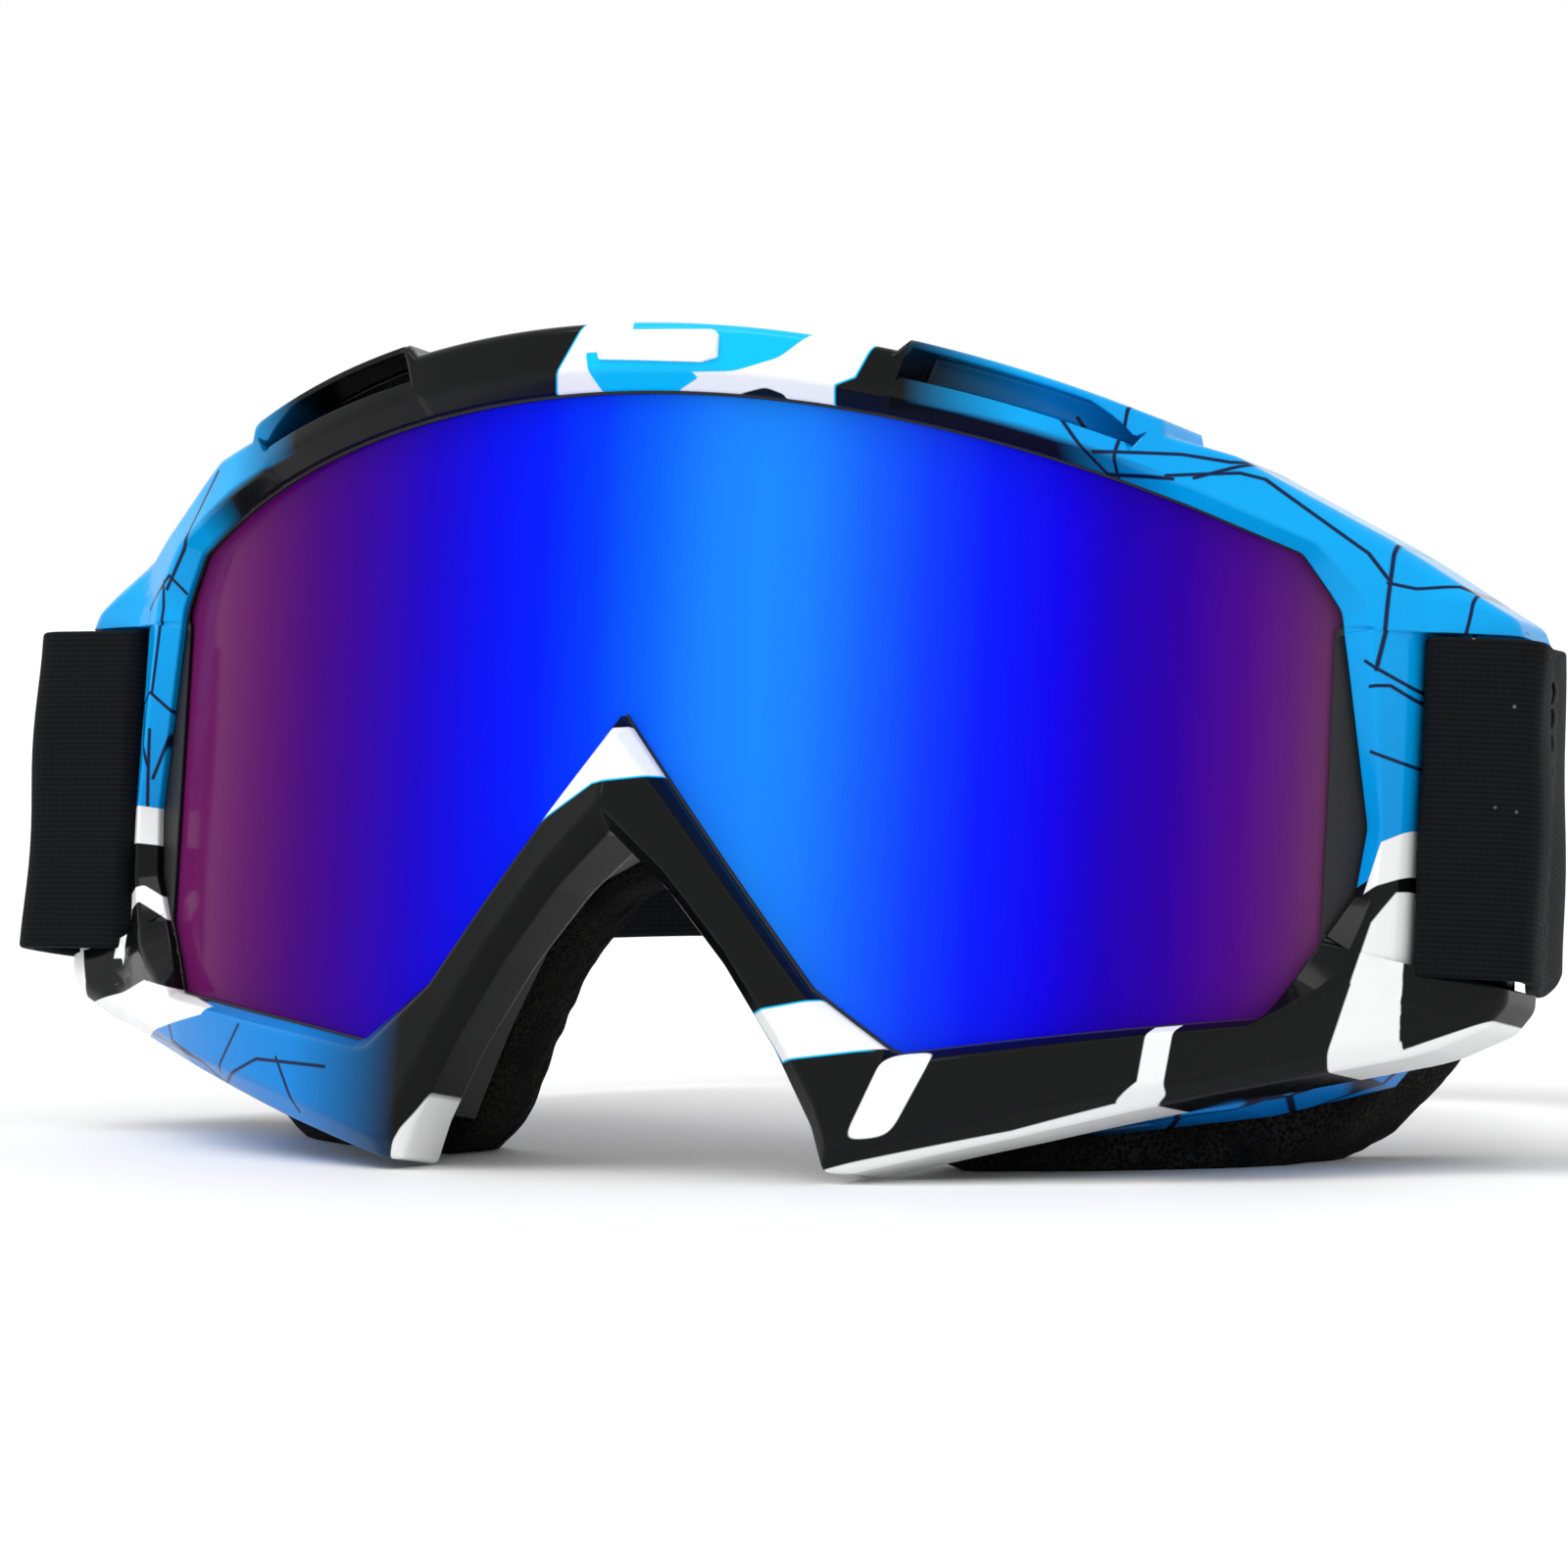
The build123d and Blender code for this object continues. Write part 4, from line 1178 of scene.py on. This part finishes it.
@dataclass
class BrowBadge:
    """The blank six-sided badge on the brow: a raised plate with a bevelled rim and a low ridge."""

    half_width: float = 7.4
    half_height: float = 1.85
    slope: float = 1.9
    centre: tuple[float, float] = (2.6, 41.1)
    thickness: float = 0.9
    behind: float = -2.7

    def build(self) -> bpy.types.Object:
        """Make the badge: its outline drawn in, ring by ring, over the brow's surface."""
        w, h, s = self.half_width, self.half_height, self.slope
        outline = np.array([(w, h * 0.7), (w - 0.6, h), (-w + 2 * s, h), (-w, h * 0.3), (-w + 0.5, -h * 0.8),
                            (w - s, -h), (w, -h * 0.7)])
        outline = rounded(outline, np.full(len(outline), 0.35), 3, closed=True)
        outline = subdivided(np.concatenate([outline, outline[:1]]), 0.8, across=2)[:-1]
        inset = np.array([0.0, 0.0, 0.06, 0.18, 0.5, 0.97])
        height = np.array([-0.6, 0.7, 0.85, 0.9, 0.9, 0.98]) * self.thickness
        shape = outline[None] * (1 - inset)[:, None, None]
        x = shape[..., 0] + self.centre[0]
        y = WRAP.depth(x, self.behind - np.broadcast_to(height[:, None], x.shape))
        points = np.stack([x, y, shape[..., 1] + self.centre[1]], axis=-1)
        plate = Lattice(STANDING.goggles(points), close_columns=True, capped=True)
        badge = Piece("brow_badge_plate", [plate]).build()
        dress(badge, Moulded("white_plate", (0.84, 0.85, 0.86), 0.22, coat=0.5, grain=0.03).material())
        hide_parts("brow_badge")
        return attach(badge, Body.FRAME.value)


# ------------------------------------------------------------------ foam


@dataclass
class FaceFoam:
    """The sponge ring that rests on the face: a crowned section carried round the rear frame.

    Each row of `stations` gives the right half's inner and outer points in the front view.
    """

    stations: tuple[tuple[float, float, float, float], ...] = (
        (0.0, -2.5, 0.0, -12.6),
        (10.0, -6.5, 10.5, -17.6),
        (19.0, -15.5, 17.3, -25.0),
        (25.0, -24.0, 22.2, -34.0),
        (29.5, -29.5, 25.8, -43.5),
        (36.0, -33.3, 31.0, -47.6),
        (46.0, -34.0, 45.0, -47.4),
        (57.0, -32.0, 59.5, -45.6),
        (63.5, -26.5, 67.5, -41.0),
        (67.0, -17.5, 75.6, -29.5),
        (68.0, -8.0, 79.9, -6.0),
        (66.5, 7.0, 78.5, 11.2),
        (61.5, 15.0, 73.4, 22.3),
        (50.0, 19.5, 58.4, 29.9),
    )
    brow_inner: float = 28.5
    brow_outer: float = 40.8
    corner: float = 4.0
    front: float = 17.6
    thickness: float = 15.0
    crown: float = 0.9
    back_power: float = 3.4
    front_power: float = 9.0
    longest: float = 0.75
    section_points: int = 74
    pores: Ripple = Ripple((1.6, 3.6), 46, 7)
    lumps: Ripple = Ripple((9.0, 26.0), 18, 11)
    pore_depth: float = 0.09
    lump_depth: float = 0.2

    def half_ring(self) -> np.ndarray:
        """Stations of the right half with rounded corners and a brow that arches to the middle."""
        corners = np.array(self.stations)
        x = np.linspace(0.9, 0.0, 10)
        start = corners[-1]
        inner = np.column_stack([start[0] * x, self.brow_inner - (self.brow_inner - start[1]) * x**2])
        outer = np.column_stack([start[2] * x, self.brow_outer - (self.brow_outer - start[3]) * x**2])
        path = np.concatenate([corners, np.concatenate([inner, outer], axis=1)])
        reach = np.full(len(path), self.corner)
        return subdivided(rounded(path, reach, 6, closed=False), self.longest, across=4)

    def section(self) -> np.ndarray:
        """The section in shares (across, from front to back): a superellipse with two powers.

        The front is nearly square to meet the frame; the back is rounder.
        """
        turn = np.linspace(0, 2 * math.pi, self.section_points, endpoint=False)
        cosine, sine = np.cos(turn), np.sin(turn)
        power = 2 / np.where(sine > 0, self.back_power, self.front_power)
        across = np.sign(cosine) * np.abs(cosine) ** power
        through = np.sign(sine) * np.abs(sine) ** power
        return np.stack([across * 0.5 + 0.5, through * 0.5 + 0.5], axis=-1)

    def build(self) -> bpy.types.Object:
        """Make the foam: section carried round, crowned at its sides, roughened, flat on the table."""
        stations = both_halves(self.half_ring())
        section = self.section()
        inner, outer = stations[:, None, 0:2], stations[:, None, 2:4]
        place = inner + (outer - inner) * section[None, :, :1]
        out = (outer - inner) / np.linalg.norm(outer - inner, axis=-1, keepdims=True)
        side = (section[None, :, :1] - 0.5) * 2
        through = section[None, :, 1]
        bulge = self.crown * 4 * through * (1 - through)
        place = place + out * (side * np.abs(side) * bulge[..., None] * 0.6)
        behind = np.broadcast_to(self.front + self.thickness * through, place.shape[:-1])
        points = np.stack([place[..., 0], WRAP.depth(place[..., 0], behind), place[..., 1]], axis=-1)
        middle = points.mean(axis=1, keepdims=True)
        away = points - middle
        away /= np.linalg.norm(away, axis=-1, keepdims=True)
        free = smooth_step(np.broadcast_to(through, place.shape[:-1]), 0.02, 0.25)[..., None]
        rough = self.pores.at(points) * self.pore_depth + self.lumps.at(points) * self.lump_depth
        row = STANDING.goggles(points + away * rough[..., None] * free)
        row[..., 2] = np.maximum(row[..., 2], 0.00005)
        ring = Lattice(row, close_rows=True, close_columns=True)
        foam = Piece("face_foam_sponge", [ring]).build(level_normals=False)
        dress(foam, Sponge().material("face_sponge"))
        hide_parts("face_foam")
        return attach(foam, Body.FRAME.value)


# ------------------------------------------------------------------ strap


@dataclass
class HeadStrap:
    """The elastic strap: one webbing sewn into a loop round each bar, with a doubled back.

    A loop's corners are drawn for the right side in plan, mm about the tilt axis, each with the
    reach of its rounding; the webbing is upright at every point.
    """

    width: float = 38.0
    thickness: float = 1.8
    edge: float = 0.55
    right_loop: tuple[Corner, ...] = (
        (83.2, 19.0, 0.0), (85.9, 12.0, 3.0), (82.2, 4.2, 2.5), (81.4, -6.6, 1.7),
        (92.7, -3.4, 2.6), (91.8, 4.2, 4.0), (84.4, 24.0, 6.0), (81.6, 40.0, 8.0))
    left_loop: tuple[Corner, ...] = (
        (84.8, 22.0, 0.0), (87.9, 12.0, 3.0), (82.2, 4.2, 2.5), (81.4, -6.6, 1.7),
        (95.4, -5.2, 3.0), (95.6, 4.0, 5.0), (90.0, 24.0, 6.0), (76.0, 62.0, 12.0))
    back_x: float = 56.7
    back_y: float = 106.7
    back_corner: float = 24.3
    drop: float = 1.6
    level_from: float = 14.0
    level_to: float = 44.0
    longest: float = 1.1
    lumps: Ripple = Ripple((14.0, 40.0), 12, 5)
    sway: float = 0.16

    def half(self, side: Side) -> np.ndarray:
        """One side's path, drawn on the right, from its sewn end to the middle of the back."""
        loop = self.right_loop if side is Side.RIGHT else self.left_loop
        corners = np.array(loop + ((self.back_x, self.back_y, self.back_corner), (0.0, self.back_y, 0.0)))
        return subdivided(rounded(corners[:, :2], corners[:, 2], 8, closed=False), self.longest, across=2)

    def layers(self, side: Side, y: float) -> tuple[float, float]:
        """How far out a loop's outer and inner layers stand at one depth."""
        path = self.half(side)
        turn = int(np.argmin(path[:, 1]))
        outer, inner = path[turn:], path[turn::-1]
        return tuple(float(np.interp(y, layer[:, 1], layer[:, 0])) for layer in (outer, inner))

    def plan(self) -> np.ndarray:
        """The webbing's middle line in plan, from the left loop's sewn end to the right one's.

        Returns:
            (points, 2) mm about the tilt axis.
        """
        return np.concatenate([self.half(Side.LEFT) * (-1, 1), self.half(Side.RIGHT)[-2::-1]])

    def band(self, plan: np.ndarray, width: float, thickness: float) -> Lattice:
        """A band with rounded edges along a plan path.

        The section is a rounded rectangle, `width` high and `thickness` through; it leans with the
        goggles at the bars and comes level behind them.

        Args:
            plan: (points, 2) the middle line, mm about the tilt axis.
            width: the band's height, mm.
            thickness: mm.

        Returns:
            The closed band, its pattern (mm along, mm across, 0).
        """
        way = np.gradient(plan, axis=0)
        way /= np.linalg.norm(way, axis=1, keepdims=True)
        normal = np.column_stack([way[:, 1], -way[:, 0]])
        half, thick = width / 2, thickness / 2
        section = rounded(rectangle(half, thick), np.full(4, self.edge), 3, closed=True)
        section = subdivided(np.concatenate([section, section[:1]]), 2.4, across=2)[:-1]
        along = travelled(plan)
        high = np.broadcast_to(section[:, 0], (len(plan), len(section)))
        through = section[:, 1]
        spots = np.stack([np.broadcast_to(along[:, None], high.shape), high, np.zeros_like(high)], axis=-1)
        sway = self.lumps.at(spots) * self.sway
        place = plan[:, None] + normal[:, None] * (through[None, :, None] + sway[..., None])
        level = smooth_step(plan[:, 1], self.level_from, self.level_to)[:, None]
        points = np.stack([place[..., 0], place[..., 1], high * 1.0], axis=-1)
        row = STANDING.leaned(points, STANDING.lean * (1 - level))
        row[..., 2] -= self.drop * MM * level
        pattern = np.stack([spots[..., 0], high, np.zeros_like(high)], axis=-1)
        return Lattice(row, close_columns=True, capped=True, pattern=pattern)

    def build(self, elastic: bpy.types.Material) -> bpy.types.Object:
        """Make the whole webbing; it bends between the frame's bars and the level strap."""
        strap = Piece("head_strap", [self.band(self.plan(), self.width, self.thickness)]).build()
        dress(strap, elastic)
        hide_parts("strap_band", "strap_loop_left", "strap_loop_right")
        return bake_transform(strap)


@dataclass
class StrapTail:
    """The doubled stretch of webbing across the back, with its end folded under and sewn."""

    strap: HeadStrap
    half_length: float = 36.0
    offset: float = 1.95

    def build(self, elastic: bpy.types.Material) -> bpy.types.Object:
        """Make the tail as a band that runs straight just outside the strap's back."""
        y = self.strap.back_y + self.offset
        plan = subdivided(np.array([(-self.half_length, y), (self.half_length, y)]), 1.2, across=2)
        band = self.strap.band(plan, self.strap.width, self.strap.thickness)
        tail = Piece("strap_tail_band", [band]).build()
        dress(tail, elastic)
        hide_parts("strap_tail")
        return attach(tail, Body.STRAP.value)


@dataclass
class Slider:
    """The strap slider: a moulded frame with a middle bar behind the strap and two bars inside."""

    strap: HeadStrap
    half_length: float = 12.0
    half_height: float = 21.4
    bar: float = 3.4
    rail: float = 1.0
    wall: float = 2.0
    room: tuple[float, float] = (-1.3, 3.25)
    corner: float = 2.2
    soft: float = 0.7
    end_half: float = 0.9
    end_soft: float = 0.5
    end_inset: float = 1.2
    end_sunk: float = 0.4
    hidden: float = 0.8

    def frame_ring(self, near: float, far: float) -> Lattice:
        """A rounded rectangular ring: an oval section carried round a rounded rectangle."""
        corners = rectangle(self.half_length - self.bar / 2, self.half_height - self.rail)
        path = rounded(corners, np.full(4, self.corner), 6, closed=True)
        path = subdivided(np.concatenate([path, path[:1]]), 2.0, across=2)[:-1]
        out = np.roll(path, -1, axis=0) - np.roll(path, 1, axis=0)
        out = np.column_stack([out[:, 1], -out[:, 0]])
        out /= np.linalg.norm(out, axis=1, keepdims=True)
        half = np.where(np.abs(out[:, :1]) > 0.5, self.bar / 2, self.rail)
        middle, thick = (near + far) / 2, (far - near) / 2
        section = rounded(rectangle(1.0, 1.0), np.full(4, self.soft), 5, closed=True)
        place = path[:, None] + out[:, None] * section[None, :, :1] * half[:, None]
        y = np.broadcast_to(middle + section[:, 1] * thick, place.shape[:-1])
        points = np.stack([place[..., 0], y, place[..., 1]], axis=-1)
        return Lattice(self.placed(points), close_rows=True, close_columns=True)

    def upright(self, x: float, half_width: float, near: float, far: float) -> Lattice:
        """One upright bar with an oval section."""
        corners = rectangle(half_width, (far - near) / 2) + (x, (near + far) / 2)
        section = rounded(corners, np.full(4, self.soft), 4, closed=True)
        top = self.half_height - self.hidden
        return Lattice(self.placed(carried_up(section, np.linspace(-top, top, 10))), close_columns=True, capped=True)

    def placed(self, points: np.ndarray) -> np.ndarray:
        """Points about the tilt axis, lowered to the strap's level middle, in row metres."""
        return STANDING.leaned(points - np.array([0, 0, self.strap.drop]), 0.0)

    def build(self) -> bpy.types.Object:
        """Make the slider as one piece of moulded plastic."""
        near, far = (self.strap.back_y + offset for offset in self.room)
        outer, inner = (far, far + self.wall), (near - self.wall, near)
        parts = [self.frame_ring(*outer), self.frame_ring(*inner), self.upright(0.0, self.bar / 2, *outer)]
        for end in (-1, 1):
            parts.append(self.end_wall(end * (self.half_height - self.end_half), inner[0], outer[1]))
        slider = Piece("strap_slider_buckle", parts).build()
        dress(slider, Moulded("slider_plastic", (0.010, 0.010, 0.011), 0.38, grain=0.3).material())
        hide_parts("strap_slider")
        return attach(slider, Body.SLIDER.value)

    def end_wall(self, z: float, near: float, far: float) -> Lattice:
        """The wall over or under the strap that joins the slider's two faces."""
        corners = rectangle((near - far) / 2 + self.end_sunk, self.end_half) + ((near + far) / 2, z)
        section = rounded(corners, np.full(4, self.end_soft), 3, closed=True)
        end = self.half_length - self.end_inset
        points = carried_up(section, np.linspace(-end, end, 8))[..., [2, 0, 1]]
        return Lattice(self.placed(points), close_columns=True, capped=True)


@dataclass
class Stitching:
    """Rows of thread stitches through the webbing: short bowed strands up its width."""

    strap: HeadStrap
    count: int = 11
    pitch: float = 3.0
    length: float = 2.3
    radius: float = 0.3
    bow: float = 0.28
    sunk: float = 0.1
    rows: tuple[float, ...] = (12.0, 14.0)
    tail_insets: tuple[float, ...] = (2.2, 4.4)

    def strand(self, centre: tuple[float, float, float], outward: np.ndarray, lean: float, drop: float) -> Lattice:
        """One stitch: a round strand that bows out of the cloth and dives in at both ends."""
        share = np.linspace(-0.5, 0.5, 7)[:, None]
        turn = np.linspace(0, 2 * math.pi, 8, endpoint=False)
        bow = (1 - 4 * share**2) * self.bow - self.sunk
        across = np.array([outward[1], -outward[0]])
        middle = np.array(centre)
        x = middle[0] + outward[0] * bow + (outward[0] * np.cos(turn) + across[0] * np.sin(turn)) * self.radius
        y = middle[1] + outward[1] * bow + (outward[1] * np.cos(turn) + across[1] * np.sin(turn)) * self.radius
        z = np.broadcast_to(middle[2] + share * self.length, x.shape)
        row = STANDING.leaned(np.stack([x, y, z], axis=-1), lean)
        row[..., 2] -= drop * MM
        return Lattice(row, close_columns=True, capped=True)

    def heights(self) -> np.ndarray:
        """Middles of the stitches up the strap's width."""
        return (np.arange(self.count) - (self.count - 1) / 2) * self.pitch

    def build_loop(self, side: Side, thread: bpy.types.Material) -> bpy.types.Object:
        """Make the stitches that close the loop at one side, on its outer and inner face."""
        strands = []
        half = self.strap.thickness / 2
        for y in self.rows:
            for x, way in zip(self.strap.layers(side, y), (1, -1)):
                centre, outward = (x + way * half) * side, np.array([way * side, 0.0])
                strands += [self.strand((centre, y, z), outward, STANDING.lean, 0.0) for z in self.heights()]
        name = side.name.lower()
        stitches = Piece(f"loop_thread_{name}", strands).build(level_normals=False)
        dress(stitches, thread)
        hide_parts(f"loop_stitching_{name}")
        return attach(stitches, Body.FRAME.value)

    def build_tail(self, tail: StrapTail, thread: bpy.types.Material) -> bpy.types.Object:
        """Make the seam that holds the tail's end."""
        y = self.strap.back_y + tail.offset + self.strap.thickness / 2
        strands = []
        for inset in self.tail_insets:
            x = tail.half_length - inset
            strands += [self.strand((x, y, z), np.array([0.0, 1.0]), 0.0, self.strap.drop) for z in self.heights()]
        stitches = Piece("tail_thread", strands).build(level_normals=False)
        dress(stitches, thread)
        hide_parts("tail_stitching")
        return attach(stitches, Body.STRAP.value)


# ------------------------------------------------------------------ studio


@dataclass
class Studio:
    """A pale floor, soft light and the camera, which is placed in the goggles' own drawn mm."""

    camera_place: tuple[float, float, float] = (389.5, -831.2, -93.64)
    azimuth: float = 23.88
    elevation: float = 1.62
    lens: float = 190.665
    floor_size: float = 40.0
    sky_light: float = 1.0
    sun_light: float = 1.1
    sun_softness: float = 38.0
    sun_from: tuple[float, float, float] = (-0.35, -0.55, 1.0)

    def floor(self) -> None:
        """A plain pale floor under the goggles."""
        edge = self.floor_size / 2
        mesh = bpy.data.meshes.new("studio_floor")
        mesh.from_pydata([(-edge, -edge, 0), (edge, -edge, 0), (edge, edge, 0), (-edge, edge, 0)], [], [(0, 1, 2, 3)])
        floor = bpy.data.objects.new("studio_floor", mesh)
        bpy.context.scene.collection.objects.link(floor)
        shader = Shader("pale_floor")
        mesh.materials.append(shader.finish({
            "Base Color": (0.92, 0.92, 0.92), "Roughness": 0.6, "Specular IOR Level": 0.1}))

    def light(self) -> None:
        """An even pale surround and one very soft sun from the front, above."""
        world = bpy.data.worlds.new("surround")
        bpy.context.scene.world = world
        world.use_nodes = True
        background = world.node_tree.nodes["Background"]
        background.inputs["Color"].default_value = (1.0, 1.0, 1.0, 1.0)
        background.inputs["Strength"].default_value = self.sky_light
        light = bpy.data.lights.new("sun", "SUN")
        light.energy = self.sun_light
        light.angle = math.radians(self.sun_softness)
        sun = bpy.data.objects.new("sun", light)
        bpy.context.scene.collection.objects.link(sun)
        sun.rotation_euler = Vector(self.sun_from).to_track_quat("Z", "Y").to_euler()

    def camera(self) -> None:
        """The camera, level with the goggles and a little to one side."""
        data = bpy.data.cameras.new("camera")
        data.lens = self.lens
        data.sensor_width = 36.0
        data.clip_start = 0.05
        data.clip_end = 60.0
        camera = bpy.data.objects.new("camera", data)
        bpy.context.scene.collection.objects.link(camera)
        camera.location = STANDING.goggles(np.array(self.camera_place))
        azimuth, elevation = math.radians(self.azimuth), math.radians(self.elevation)
        back = Vector((math.sin(azimuth) * math.cos(elevation), -math.cos(azimuth) * math.cos(elevation),
                       math.sin(elevation)))
        camera.rotation_mode = "QUATERNION"
        camera.rotation_quaternion = (-back).to_track_quat("-Z", "Y")
        bpy.context.scene.camera = camera

    def build(self) -> None:
        """Set up the floor, the light and the camera, with colours shown as they are."""
        self.floor()
        self.light()
        self.camera()
        bpy.context.scene.view_settings.view_transform = "Standard"


def main() -> None:
    """Build every piece in order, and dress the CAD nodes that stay."""
    logging.basicConfig(level=logging.INFO, format="%(name)s %(message)s")
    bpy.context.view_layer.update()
    Studio().build()
    FrontFrame().build()
    Lens().build()
    LensSeal(FrontFrame()).build()
    BrowBadge().build()
    FaceFoam().build()
    elastic = Webbing().material()
    strap = HeadStrap()
    strap.build(elastic)
    tail = StrapTail(strap)
    tail.build(elastic)
    Slider(strap).build()
    thread = Moulded("black_thread", (0.012, 0.012, 0.013), 0.6, grain=0.5).material()
    stitching = Stitching(strap)
    for side in Side:
        stitching.build_loop(side, thread)
    stitching.build_tail(tail, thread)
    dress_node("rear_frame", BlueGloss().material())
    dress_node("foam_adhesive", Moulded("adhesive_film", (0.02, 0.02, 0.02), 0.5).material())
    vent_sponge = Sponge(pore_scale=1100.0).material("vent_sponge")
    for name in ("vent_foam_top_left", "vent_foam_top_right", "vent_foam_bottom_left", "vent_foam_bottom_right"):
        dress_node(name, vent_sponge)


if __name__ == "__main__":
    main()
